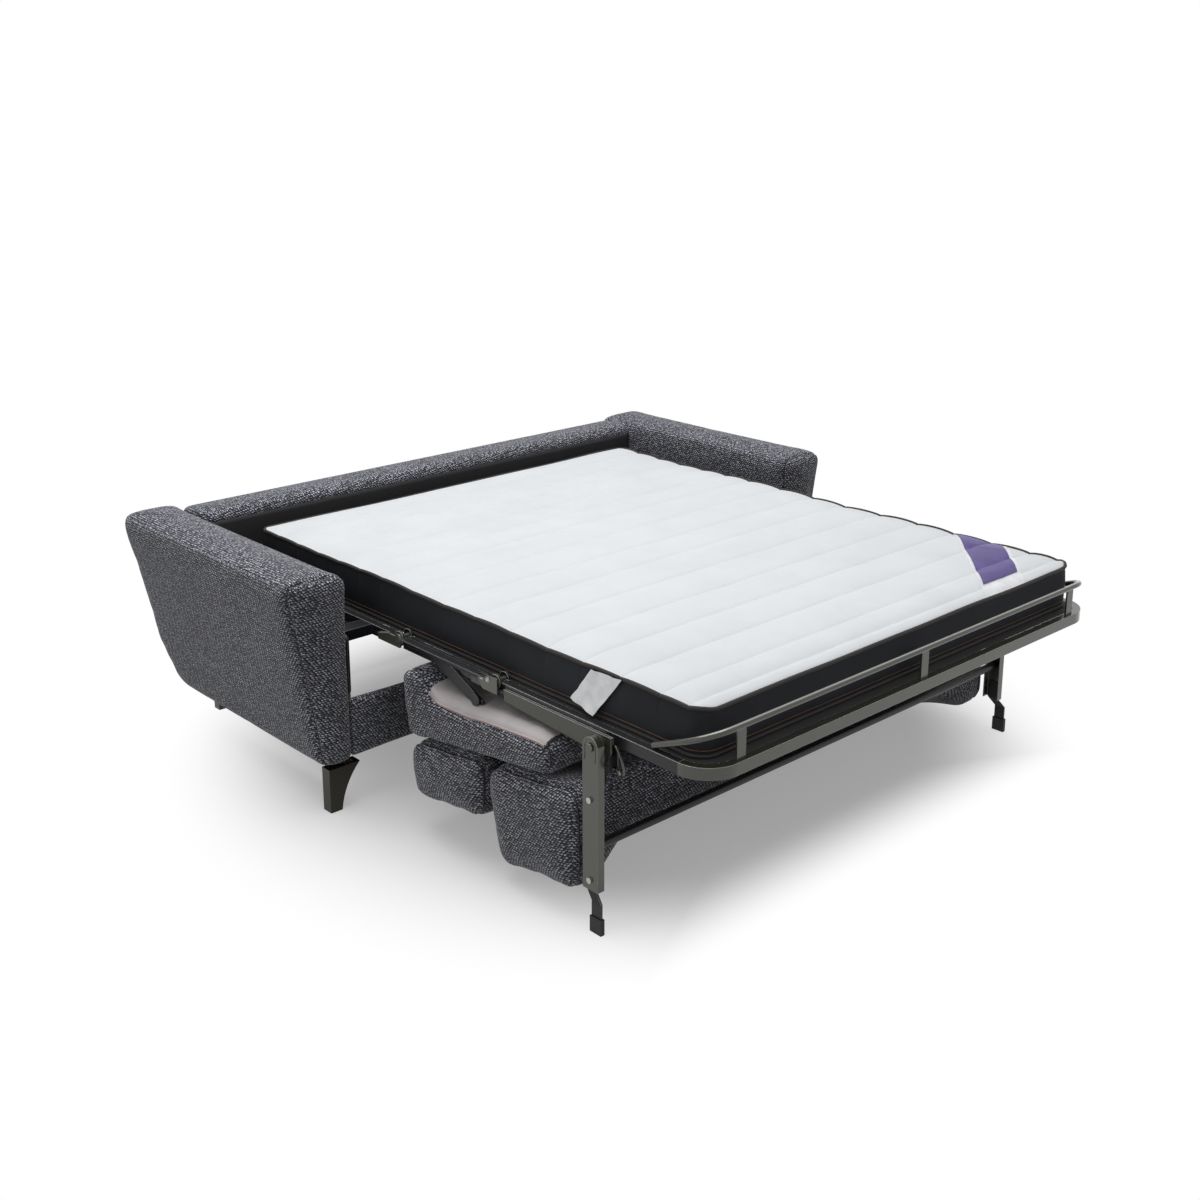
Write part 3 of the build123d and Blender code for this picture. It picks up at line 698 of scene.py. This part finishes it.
def sagCushion(cover, name):
    look = sagLook
    for vertex in cover.data.vertices:
        beyond = abs(vertex.co.x)
        along = (vertex.co - look["origin"]).dot(alongAxis)
        up = (vertex.co - look["origin"]).dot(upAxis)
        bulge = look["endBulge"] * ease((beyond - look["boardHalf"]) / look["endReach"])
        if name == "seatCushion":
            fall = ease((beyond - look["seatFlat"]) / look["seatReach"])
            fall *= ease((along - look["seatStart"]) / look["seatRise"])
            fall *= 1 - look["seatLoss"] * ease((along - look["seatPeak"]) / look["seatFade"])
            up -= look["seatDip"] * fall * clamp(up / look["seatDepth"])
            up = max(up, look["boardTop"] - bulge)
        else:
            up = min(up, look["boardBase"] + bulge)
        if name == "headrestCushion":
            along = min(along, look["headrestEnd"])
        if name == "backrestCushion":
            along = max(along, look["backrestStart"])
            middle = 1 - ease((beyond - look["backFlat"]) / look["backReach"])
            lower = clamp((-up - look["backDrop"]) / look["backDepth"])
            up += look["backLift"] * middle * lower * ease((along - look["backFrom"]) / look["backRise"])
        vertex.co = look["origin"] + Vector((vertex.co.x, 0, 0)) + alongAxis * along + upAxis * up


def makeCushions():
    look = coverLook["cushion"]
    for node, name in (("seat_cushion", "seatCushion"), ("headrest_cushion", "headrestCushion"),
                       ("backrest_cushion", "backrestCushion")):
        cover = paddedCover(node, name, look)
        sagCushion(cover, name)
        low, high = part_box(node)
        for side, edge in (("Left", low.x + look["endSeam"]), ("Right", high.x - look["endSeam"])):
            sewSeam(cover, name + "Seam" + side, "mid_section", (edge, 0, 0), (1, 0, 0))
        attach(cover, "mid_section")
        print(name, "covered:", len(cover.data.vertices), "points")


makeArms()
makeBack()
makeCushions()


# black lining stretched over the inside of the back
backLiningLook = {"grid": (120, 24), "sag": 0.0025, "thickness": 0.0015, "standOff": 0.002, "pucker": 0.0012,
                  "puckerSize": 0.035, "puckerLength": 0.3, "puckerRise": 1.3}


def makeBackLining():
    look = backLiningLook
    low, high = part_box("back_lining")

    def spot(s, t):
        x = low.x + (high.x - low.x) * s
        z = low.z + (high.z - low.z) * t
        pucker = look["pucker"] * ripple(x, 0, z * look["puckerLength"], look["puckerSize"], 4.0)
        sag = look["sag"] * math.sin(math.pi * t) * math.sin(math.pi * s)
        return (x, low.y + look["standOff"] + sag + pucker * ease(t * look["puckerRise"]), z)

    lining = sheet("backLining", look["grid"], spot, cloths["blackLining"], look["thickness"])
    smoothShade(lining)
    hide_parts("back_lining")
    fasten(lining, "black_lining", "sofa")


makeBackLining()
print("back lining stretched")


# mattress: a white quilted top in rows of pillows, a black border, piping on both edges
mattressLook = {
    "corner": 0.046, "footRoll": 0.040, "edgeDrop": 0.012, "crownReach": 0.085, "fill": 0.8,
    "pillowDepth": 0.008, "pillowCurve": 0.55, "edgeDip": 0.6, "edgeWave": 0.005, "edgeWaveSize": 0.30,
    "pucker": 0.0016, "puckerSize": 0.030, "puckerLength": 0.35, "topWave": 0.0015, "topWaveSize": 0.22,
    "bulge": 0.006, "bulgeCurve": 0.8, "scallop": 0.004, "sideWave": 0.002, "sideWaveSize": 0.20,
    "levels": (0.05, 0.14, 0.28, 0.45, 0.62, 0.78, 0.90, 0.97),
    "edgeStops": (0, 0.006, 0.014, 0.025, 0.040, 0.060, 0.085), "columns": 52, "rowPitch": 0.011,
    "bendReach": 0.155, "pipingRadius": 0.0048, "lowPiping": 0.955, "stitchLevel": 0.020,
    "stitchRadius": 0.0009,
    "rows": (("mattress_head", 6), ("mattress_rear_fold", 2), ("mattress_middle", 1),
             ("mattress_front_fold", 2), ("mattress_foot", 4))}
mattressLow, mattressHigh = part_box("mattress_head")
halfWidth, headEnd, topLevel = mattressHigh
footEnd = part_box("mattress_foot")[0].y
baseLevel = mattressLow.z


def valleyLines():
    lines = []
    for node, count in mattressLook["rows"]:
        low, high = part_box(node)
        for index in range(count):
            lines.append(high.y - (high.y - low.y) * index / count)
    return sorted(lines + [footEnd, footEnd + mattressLook["footRoll"]])


valleys = valleyLines()


def pillowShare(y):
    # 0 in a sewn valley, 1 on the crest of a pillow
    index = min(max(bisect.bisect_right(valleys, y), 1), len(valleys) - 1)
    near, far = valleys[index - 1], valleys[index]
    return math.sin(math.pi * clamp((y - near) / (far - near))) ** mattressLook["pillowCurve"]


def edgeDistance(x, y):
    return max(0.0, min(halfWidth - abs(x), headEnd - y, y - footEnd))


def edgeLevel(x, y):
    # height of the top piping: it dips at each valley and waves along the two ends
    look = mattressLook
    wave = look["edgeWave"] * ripple(x, y, 0, look["edgeWaveSize"], 9.0)
    return topLevel - look["edgeDrop"] - look["pillowDepth"] * look["edgeDip"] * (1 - pillowShare(y)) + wave


def topHeight(x, y):
    look = mattressLook
    crown = 1 - (1 - min(edgeDistance(x, y) / look["crownReach"], 1.0)) ** 2
    valley = 1 - pillowShare(y)
    pucker = look["pucker"] * ripple(x, y * look["puckerLength"], 0, look["puckerSize"], 2.0) * valley * crown
    wave = look["topWave"] * ripple(x, y, 0, look["topWaveSize"], 1.0)
    middle = topLevel - look["pillowDepth"] * valley + wave + pucker
    return edgeLevel(x, y) * (1 - crown) + middle * crown


def roundCorner(x, y):
    # the square corner of the grid drawn in to the corner's arc
    radius = mattressLook["corner"]
    end = headEnd if y > (headEnd + footEnd) / 2 else footEnd
    inward = -1 if end == headEnd else 1
    overX = (abs(x) - (halfWidth - radius)) / radius
    overY = 1 - (y - end) * inward / radius
    if overX <= 0 or overY <= 0:
        return x, y
    drawnX = overX * math.sqrt(1 - overY * overY / 2)
    drawnY = overY * math.sqrt(1 - overX * overX / 2)
    side = math.copysign(1, x)
    return side * (halfWidth - radius + radius * drawnX), end + inward * radius * (1 - drawnY)


def crossStops():
    near = mattressLook["edgeStops"]
    count = mattressLook["columns"]
    inner = halfWidth - near[-1]
    plain = [-inner + 2 * inner * index / count for index in range(1, count)]
    return [-halfWidth + step for step in near] + plain + [halfWidth - step for step in reversed(near)]


def lengthStops(low, high):
    # rows between two places on the bed, crowded towards each valley
    stops = []
    marks = [low] + [line for line in valleys if low + 0.002 < line < high - 0.002] + [high]
    for near, far in zip(marks, marks[1:]):
        count = max(4, round((far - near) / mattressLook["rowPitch"]))
        stops += [near + (far - near) * (1 - math.cos(math.pi * index / count)) / 2 for index in range(count)]
    return stops + [high]


def outward(x, y):
    # direction in plan from the mattress towards its border
    radius = mattressLook["corner"]
    overX = abs(x) - (halfWidth - radius)
    overY = max(y - (headEnd - radius), (footEnd + radius) - y)
    side = math.copysign(1, x)
    end = 1 if y > (headEnd + footEnd) / 2 else -1
    if overX > 0 and overY > 0:
        return Vector((side * overX, end * overY, 0)).normalized()
    return Vector((side, 0, 0)) if overX > overY else Vector((0, end, 0))


def borderSpot(x, y, drop):
    # a point on the border, drop 0 at the top piping and 1 at the bottom one
    look = mattressLook
    away = outward(x, y)
    share = pillowShare(y) if abs(away.x) > 0.5 else 1.0
    swell = look["bulge"] * math.sin(math.pi * clamp(drop)) ** look["bulgeCurve"]
    swell += look["sideWave"] * ripple(x, y, drop, look["sideWaveSize"], 6.0) * math.sin(math.pi * drop)
    tuck = look["scallop"] * (1 - share) * (1 - drop) ** 2
    level = edgeLevel(x, y) * (1 - drop) + baseLevel * drop
    return Vector((x, y, level)) + away * (swell - tuck)


def mattressHalf(name, low, high):
    look = mattressLook
    columns, rows = crossStops(), lengthStops(low, high)
    wide, tall = len(columns), len(rows)
    square = [(x, y) for y in rows for x in columns]
    plan = [roundCorner(x, y) for x, y in square]
    points = []
    for (x, y), (px, py) in zip(square, plan):
        onEdge = edgeDistance(x, y) < 1e-6
        points.append(borderSpot(px, py, 0.0) if onEdge else Vector((px, py, topHeight(px, py))))
    topFaces = gridFaces(wide, tall)
    # the free outline of this half, from the cut round the bed's end and back
    atHead = high > headEnd - 0.001
    order = list(range(tall)) if atHead else list(range(tall))[::-1]
    rim = [j * wide for j in order] + [order[-1] * wide + i for i in range(1, wide)]
    rim += [j * wide + wide - 1 for j in order[-2::-1]]
    rings = [rim]
    for drop in look["levels"]:
        rings.append(list(range(len(points), len(points) + len(rim))))
        points += [borderSpot(*plan[index], drop) for index in rim]
    under = len(points)
    points += [Vector((px, py, baseLevel)) for px, py in plan]
    rings.append([under + index for index in rim])
    otherFaces = []
    for upper, lower in zip(rings, rings[1:]):
        for k in range(len(rim) - 1):
            quad = (upper[k], upper[k + 1], lower[k + 1], lower[k])
            otherFaces.append(quad if atHead else quad[::-1])
    otherFaces += [tuple(under + index for index in reversed(face)) for face in topFaces]
    cutRow = [order[0] * wide + i for i in range(wide)]
    cap = cutRow + [ring[-1] for ring in rings[1:-1]]
    cap += [under + index for index in reversed(cutRow)] + [ring[0] for ring in reversed(rings[1:-1])]
    otherFaces.append(tuple(cap))
    obj = build(name, points, topFaces + otherFaces, cloths["mattressKnit"], cloths["mattressBorder"])
    obj.data.polygons.foreach_set("material_index", [0] * len(topFaces) + [1] * len(otherFaces))
    faceOut(obj)
    smoothShade(obj, 50)
    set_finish(obj, "mattress")
    pieces = [obj]
    stitch = 1 - look["stitchLevel"] / (topLevel - baseLevel)
    for label, drop, radius, offset, material, sides in (
            ("PipingTop", 0.0, look["pipingRadius"], 0.0015, "mattressPiping", 8),
            ("PipingBottom", look["lowPiping"], look["pipingRadius"], 0.0005, "mattressPiping", 8),
            ("Stitch", stitch, look["stitchRadius"], 0.0004, "copperThread", 6)):
        path = [borderSpot(*plan[index], drop) + outward(*plan[index]) * offset for index in rim]
        pieces.append(cord(name + label, path, radius, cloths[material], sides))
        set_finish(pieces[-1], "mattress")
    for piece in pieces:
        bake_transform(piece)
    return obj


def jointSpot(joint):
    return [entry for entry in frame["joints"] if entry["name"] == joint][0]["pos_m"]


rearFold = jointSpot("bed_fold")[1]
frontFold = jointSpot("foot_fold")[1]
mattressCut = (rearFold + frontFold) / 2
rearHalf = mattressHalf("mattressRear", mattressCut, headEnd)
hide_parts("mattress_head", "mattress_rear_fold", "mattress_middle")
frontHalf = mattressHalf("mattressFront", footEnd, mattressCut)
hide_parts("mattress_front_fold", "mattress_foot")
print("mattress made:", len(rearHalf.data.vertices) + len(frontHalf.data.vertices), "points")


# plain woven band with a white edging under it, from the far side of the bed to its foot
bandLook = {"corners": ((0.690, -0.604), (0.690, -0.749), (0.364, -0.908), (0.517, -0.908)),
            "lift": 0.0032, "crease": 1.0}
edgingLook = {"corners": ((0.694, -0.590), (0.694, -0.762), (0.300, -0.958), (0.474, -0.958)),
              "lift": 0.0014, "crease": 0.4}
satinLook = {"grid": (24, 60), "crease": 0.0010, "creaseSize": 0.05, "thickness": 0.0006}


def makeBand(name, look, material):
    corners = [Vector(corner) for corner in look["corners"]]

    def spot(s, t):
        x, y = fromCorners(corners, s, t)
        crease = satinLook["crease"] * ripple(x, y, 0, satinLook["creaseSize"], 3.0)
        return (x, y, topHeight(x, y) + look["lift"] + max(0.0, crease) * look["crease"])

    band = sheet(name, satinLook["grid"], spot, material, satinLook["thickness"], 1)
    smoothShade(band, 40)
    fasten(band, "mattress", "foot_section")


makeBand("bandEdging", edgingLook, cloths["whiteSatin"])
makeBand("cornerBand", bandLook, cloths["purpleSatin"])

# plain care tag that hangs from the near side
tagLook = {"corners": ((-0.633, 0.569), (-0.727, 0.572), (-0.569, 0.484), (-0.649, 0.468)),
           "grid": (14, 18), "flat": (0.090, 0.115), "thickness": 0.0005, "standOff": 0.0022, "curl": 0.012,
           "rearCurl": 0.35, "wave": 0.0050, "waveSize": 0.030}


def makeTag():
    look = tagLook
    corners = [Vector(corner) for corner in look["corners"]]

    def spot(s, t):
        y, z = fromCorners(corners, s, t)
        curl = look["curl"] * t * t * (look["rearCurl"] + (1 - look["rearCurl"]) * s)
        curl += look["wave"] * ripple(y, z, 0, look["waveSize"], 8.0)
        return (-(halfWidth + mattressLook["bulge"] + look["standOff"] + max(0.0, curl)), y, z)

    tag = sheet("careTag", look["grid"], spot, cloths["whiteSatin"], look["thickness"])
    smoothShade(tag, 40)
    fasten(tag, "mattress", "foot_section")


makeTag()
print("band and tag sewn on")


# black cloth between the mattress and the wire
deckLook = {"lift": 0.00005, "thickness": 0.0002, "railGap": 0.0005, "headGap": 0.030, "foldGap": 0.002,
            "endGap": 0.0003, "railDepth": 0.020, "hingeHalf": 0.708, "hingeReach": 0.024,
            "cornerRadius": 0.065, "columns": 40, "rowPitch": 0.009, "leastRows": 12}


def makeDeck(name, body, mesh, rear, front):
    look = deckLook
    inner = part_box("mid_mesh")[1].x - look["railGap"]
    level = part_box(mesh)[1].z + look["lift"]
    radius = look["cornerRadius"]

    def spot(s, t):
        y = rear + (front - rear) * t
        byHinge = min(abs(y - rearFold), abs(y - frontFold)) < look["hingeReach"]
        over = min(max(0.0, deckEnd + radius - y), radius)
        half = (look["hingeHalf"] if byHinge else inner) - (radius - math.sqrt(radius ** 2 - over ** 2))
        return (half * (2 * s - 1), y, level)

    rows = max(look["leastRows"], round((rear - front) / look["rowPitch"]))
    deck = sheet(name, (look["columns"], rows), spot, cloths["blackLining"], look["thickness"])
    fasten(deck, "black_lining", body)


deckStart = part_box("head_mesh")[1].y - deckLook["headGap"]
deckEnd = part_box("foot_end_rail")[0].y + deckLook["railDepth"] + deckLook["endGap"]
foldGap = deckLook["foldGap"]
makeDeck("deckHead", "sofa", "head_mesh", deckStart, rearFold + foldGap)
makeDeck("deckMiddle", "mid_section", "mid_mesh", rearFold - foldGap, frontFold + foldGap)
makeDeck("deckFoot", "foot_section", "foot_mesh", frontFold - foldGap, deckEnd)
print("deck cloths stretched")


# grey lining over the turned-up side of the seat, loose enough to crease
seatLiningLook = {"start": 0.0963, "end": 0.523, "half": 0.772, "lowest": 0.03, "steepest": 0.2,
                  "lift": 0.002, "crease": 0.0055, "creaseSize": 0.055, "fineSize": 0.022, "fineShare": 0.5,
                  "flatEdge": 0.06, "thickness": 0.0012, "rimReach": 0.003, "pipingRadius": 0.0042,
                  "stitchRadius": 0.0018}


def makeSeatLining():
    look = seatLiningLook
    origin = sagLook["origin"]
    across = Vector((1, 0, 0))
    bm = bmesh.new()
    bm.from_mesh(bpy.data.objects["seatCushion"].data)
    cutLoops(bm, origin + alongAxis * look["start"], -alongAxis, True)
    cutLoops(bm, origin + alongAxis * look["end"], alongAxis, True)
    cutLoops(bm, origin + upAxis * look["lowest"], -upAxis, True)
    for away in (across, -across):
        cutLoops(bm, away * look["half"], away, True)
    bm.normal_update()
    steep = [face for face in bm.faces if face.normal.dot(upAxis) < look["steepest"]]
    bmesh.ops.delete(bm, geom=steep, context="FACES")
    bm.normal_update()
    raised = []
    for vertex in bm.verts:
        x, y = vertex.co.x, vertex.co.y
        along = (vertex.co - origin).dot(alongAxis)
        inside = min(look["half"] - abs(x), along - look["start"], look["end"] - along) / look["flatEdge"]
        crease = ripple(x * 0.5 + y * 0.9, y * 0.35 - x * 0.5, 0, look["creaseSize"], 5.0)
        crease += look["fineShare"] * ripple(x + 0.7 * y, y, 0, look["fineSize"], 7.0)
        lift = look["lift"] + look["crease"] * max(0.0, crease) * ease(inside)
        raised.append(vertex.co + vertex.normal * lift)
    for vertex, spot in zip(bm.verts, raised):
        vertex.co = spot
    area = sum(face.calc_area() for face in bm.faces)
    rim = [vertex.co.copy() for vertex in bm.verts if vertex.is_boundary]
    mesh = bpy.data.meshes.new("seatLining")
    bm.to_mesh(mesh)
    bm.free()
    mesh.materials.clear()
    lining = place("seatLining", mesh, cloths["greyLining"])
    thicken(lining, look["thickness"], 1)
    smoothShade(lining, 60)
    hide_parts("seat_lining")
    fasten(lining, "grey_lining", "mid_section")
    # each edge has a cord along the part of the rim that lies on it
    front = [spot for spot in rim if (spot - origin).dot(alongAxis) > look["end"] - look["rimReach"]]
    left = [spot for spot in rim if -spot.x > look["half"] - look["rimReach"]]
    right = [spot for spot in rim if spot.x > look["half"] - look["rimReach"]]
    for label, edge, axis, radius, material, slot in (
            ("FrontPiping", front, 0, look["pipingRadius"], "blackLining", "black_lining"),
            ("StitchLeft", left, 1, look["stitchRadius"], "pinkThread", "grey_lining"),
            ("StitchRight", right, 1, look["stitchRadius"], "pinkThread", "grey_lining")):
        edge.sort(key=lambda spot: spot[axis])
        path = edge[:1]
        for spot in edge[1:]:
            if (spot - path[-1]).length > radius * 2:
                path.append(spot)
        fasten(cord("seatLining" + label, path, radius, cloths[material]), slot, "mid_section")


makeSeatLining()
print("seat lining laid")


# small frame fittings: fold plates over the front hinges, beads on the legs and catches behind them
fittingLook = {"pinGap": 0.0005, "plateThickness": 0.003, "plateRear": 0.058, "plateFront": 0.0145,
               "plateTop": 0.012, "plateLow": 0.028, "rearTop": 0.011, "rearLow": 0.006, "rearSlant": 0.018,
               "plateBevel": 0.0009, "boltRadius": 0.0045, "boltHeight": 0.004, "boltRise": 0.001,
               "boltPlaces": (0.018, 0.040), "beadRadius": 0.0165, "beadDrop": 0.030, "beadWidth": 0.0014,
               "beadSteps": 16, "strap": (0.028, 0.012), "strapLevels": (0.434, 0.372), "strapRear": -0.712,
               "strapInset": (0.013, 0.010), "wireInset": 0.006, "wireRadius": 0.0030,
               "wirePath": ((-0.736, 0.434), (-0.744, 0.426), (-0.754, 0.410), (-0.763, 0.388),
                            (-0.764, 0.377), (-0.759, 0.371), (-0.752, 0.373), (-0.742, 0.377),
                            (-0.724, 0.378)),
               "roller": (-0.755, 0.3775), "rollerRadius": 0.0048, "rollerInset": 0.011, "rollerStep": 0.003}
# a bolt's round washer and six-sided head: sides, share of the radius, start and end as shares of the height
boltShape = ((24, 1.35, 0.0, 0.3), (6, 1.0, 0.3, 1.0))


def addBolt(points, faces, center, axis, radius, height):
    side = axis.orthogonal().normalized()
    up = axis.cross(side)
    for count, share, start, end in boltShape:
        base = len(points)
        for level in (start, end):
            for turn in range(count):
                angle = 2 * math.pi * turn / count
                reach = (side * math.cos(angle) + up * math.sin(angle)) * radius * share
                points.append(center + reach + axis * height * level)
        for turn in range(count):
            beside = (turn + 1) % count
            faces.append((base + turn, base + beside, base + count + beside, base + count + turn))
        faces.append(tuple(base + count + turn for turn in range(count)))
        faces.append(tuple(base + turn for turn in reversed(range(count))))


def prism(name, side, near, far, outline, material):
    # flat plate with an outline in y and z, between two distances from the middle of the sofa
    count = len(outline)
    points = [(side * x, y, z) for x in (near, far) for y, z in outline]
    faces = [tuple(range(count)), tuple(range(count, 2 * count))[::-1]]
    faces += [(k, count + k, count + (k + 1) % count, (k + 1) % count) for k in range(count)]
    obj = build(name, points, faces, material)
    faceOut(obj)
    return obj


def makeFittings(side, label):
    look = fittingLook
    olive, black, zinc = paints["oliveFramePaint"], paints["blackFramePaint"], paints["zincPlate"]
    level = jointSpot("foot_fold")[2]
    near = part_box("front_hinge_pins")[1].x + look["pinGap"]
    far = near + look["plateThickness"]
    rear, front = frontFold + look["plateRear"], frontFold - look["plateFront"]
    top, low = level + look["plateTop"], level - look["plateLow"]
    outline = ((rear, level + look["rearTop"]), (rear, level - look["rearLow"]),
               (rear - look["rearSlant"], low), (front, low), (front, top))
    plate = prism("foldPlate" + label, side, near, far, outline, olive)
    bevel = plate.modifiers.new("Bevel", "BEVEL")
    bevel.width = look["plateBevel"]
    bevel.segments = 2
    applyModifiers(plate)
    fasten(plate, "frame_metal", "mid_section")
    points, faces = [], []
    for along in look["boltPlaces"]:
        center = Vector((side * far, frontFold + along, level + look["boltRise"]))
        addBolt(points, faces, center, Vector((side, 0, 0)), look["boltRadius"], look["boltHeight"])
    bolts = build("foldBolts" + label, points, faces, zinc)
    faceOut(bolts)
    fasten(bolts, "zinc", "mid_section")
    # pressed bead round the leg's pivot
    pivot = jointSpot("leg_fold")
    reach, drop = look["beadRadius"], -look["beadDrop"]
    turns = [math.pi * step / look["beadSteps"] for step in range(look["beadSteps"] + 1)]
    bow = [(reach * math.cos(turn), reach * math.sin(turn)) for turn in turns]
    arch = [(reach, drop)] + bow + [(-reach, drop)]
    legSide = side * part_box("leg_right")[1].x
    path = [Vector((legSide, pivot[1] + y, pivot[2] + z)) for y, z in arch]
    fasten(cord("legBead" + label, path, look["beadWidth"], olive, 10), "frame_metal", "folding_legs")
    # catch behind the leg: a hanging strap, a bent wire and the roller it hooks on
    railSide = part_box("mid_rail_right")[1].x
    width, depth = look["strap"]
    top, low = look["strapLevels"]
    shape = ((0, top), (width, top), (width, low + depth), (width * 0.7, low), (width * 0.2, low),
             (0, low + depth))
    outline = [(look["strapRear"] - y, z) for y, z in shape]
    near, far = [railSide - inset for inset in look["strapInset"]]
    strap = prism("catchStrap" + label, side, near, far, outline, black)
    path = [Vector((side * (railSide - look["wireInset"]), y, z)) for y, z in look["wirePath"]]
    wire = cord("catchWire" + label, path, look["wireRadius"], olive, 10)
    stops = [side * (railSide - look["rollerInset"] + look["rollerStep"] * step) for step in range(5)]
    path = [Vector((x, *look["roller"])) for x in stops]
    roller = cord("catchRoller" + label, path, look["rollerRadius"], zinc, 20, sharpAngle=40)
    for piece, slot in ((strap, "black_metal"), (wire, "frame_metal"), (roller, "zinc")):
        fasten(piece, slot, "foot_section")


makeFittings(1, "Right")
makeFittings(-1, "Left")
print("fittings placed")


# stage: pale floor that runs out to white, a soft box above, a weaker one at the side
stageLook = {"floorSize": 30.0, "floorDrop": 0.0005, "floorColor": (0.86, 0.86, 0.86, 1), "fadeStart": 0.80,
             "fadeEnd": 1.30, "frontStart": 0.70, "frontEnd": 0.96, "fadeBase": 0.30, "skyLight": 0.34,
             "topPower": 112.0, "sidePower": 9.0, "cameraLens": 45.24, "cameraSensor": 36.0,
             "cameraPlace": (-2.7556, -2.8804, 1.8108), "cameraTurn": 42.68, "cameraTilt": 15.0,
             "cameraShift": -0.1015}


def seenRays(tree):
    # 1 for rays that show the surface itself, 0 for those that only carry its light
    rays = addNode(tree, "LightPath", {}).outputs
    mirrored = mathNode(tree, "MAXIMUM", rays["Is Glossy Ray"], rays["Is Transmission Ray"])
    return mathNode(tree, "MAXIMUM", rays["Is Camera Ray"], mirrored)


def softBox(name, spot, aim, size, power):
    light = bpy.data.lights.new(name, "AREA")
    light.shape = "SQUARE"
    light.size = size
    light.energy = power
    lamp = place(name, light)
    lamp.location = spot
    lamp.rotation_euler = (Vector(aim) - Vector(spot)).to_track_quat("-Z", "Y").to_euler()


def makeStage():
    look = stageLook
    scene = bpy.context.scene
    scene.view_settings.view_transform = "Standard"
    material = bpy.data.materials.new("studioFloor")
    material.use_nodes = True
    tree = material.node_tree
    tree.nodes.clear()
    spot = coordinates(tree)["Object"]
    away = vectorNode(tree, "LENGTH", {0: spot})["Value"]
    ahead = mathNode(tree, "MULTIPLY", split(tree, spot)[1], -1.0)
    outer = mathNode(tree, "MAXIMUM", spread(tree, away, look["fadeStart"], look["fadeEnd"]),
                     spread(tree, ahead, look["frontStart"], look["frontEnd"]))
    fade = scaleAdd(tree, outer, 1 - look["fadeBase"], look["fadeBase"])
    matt = addNode(tree, "BsdfDiffuse", {"Color": look["floorColor"]}).outputs[0]
    white = addNode(tree, "Emission", {}).outputs[0]
    shown = mathNode(tree, "MULTIPLY", fade, seenRays(tree))
    mixed = addNode(tree, "MixShader", {"Fac": shown, 1: matt, 2: white}).outputs[0]
    addNode(tree, "OutputMaterial", {"Surface": mixed})
    half = look["floorSize"] / 2
    corners = [(-half, -half, 0), (half, -half, 0), (half, half, 0), (-half, half, 0)]
    floor = build("studioFloor", corners, [(0, 1, 2, 3)], material)
    floor.location.z = -look["floorDrop"]

    world = bpy.data.worlds.new("studioWorld")
    scene.world = world
    world.use_nodes = True
    sky = world.node_tree
    backdrop = sky.nodes["Background"].inputs
    backdrop["Color"].default_value = (1, 1, 1, 1)
    feed(sky, backdrop["Strength"], scaleAdd(sky, seenRays(sky), 1 - look["skyLight"], look["skyLight"]))

    softBox("softBoxTop", (-0.4, 0.3, 4.2), (0, -0.1, 0.3), 3.4, look["topPower"])
    softBox("softBoxSide", (-4.2, -0.2, 1.9), (0, -0.2, 0.4), 2.6, look["sidePower"])

    lens = bpy.data.cameras.new("photoCamera")
    lens.lens = look["cameraLens"]
    lens.sensor_width = look["cameraSensor"]
    lens.shift_y = look["cameraShift"]
    camera = place("photoCamera", lens)
    camera.location = look["cameraPlace"]
    camera.rotation_euler = (math.radians(90 - look["cameraTilt"]), 0, math.radians(-look["cameraTurn"]))
    scene.camera = camera


makeStage()
print("stage set")
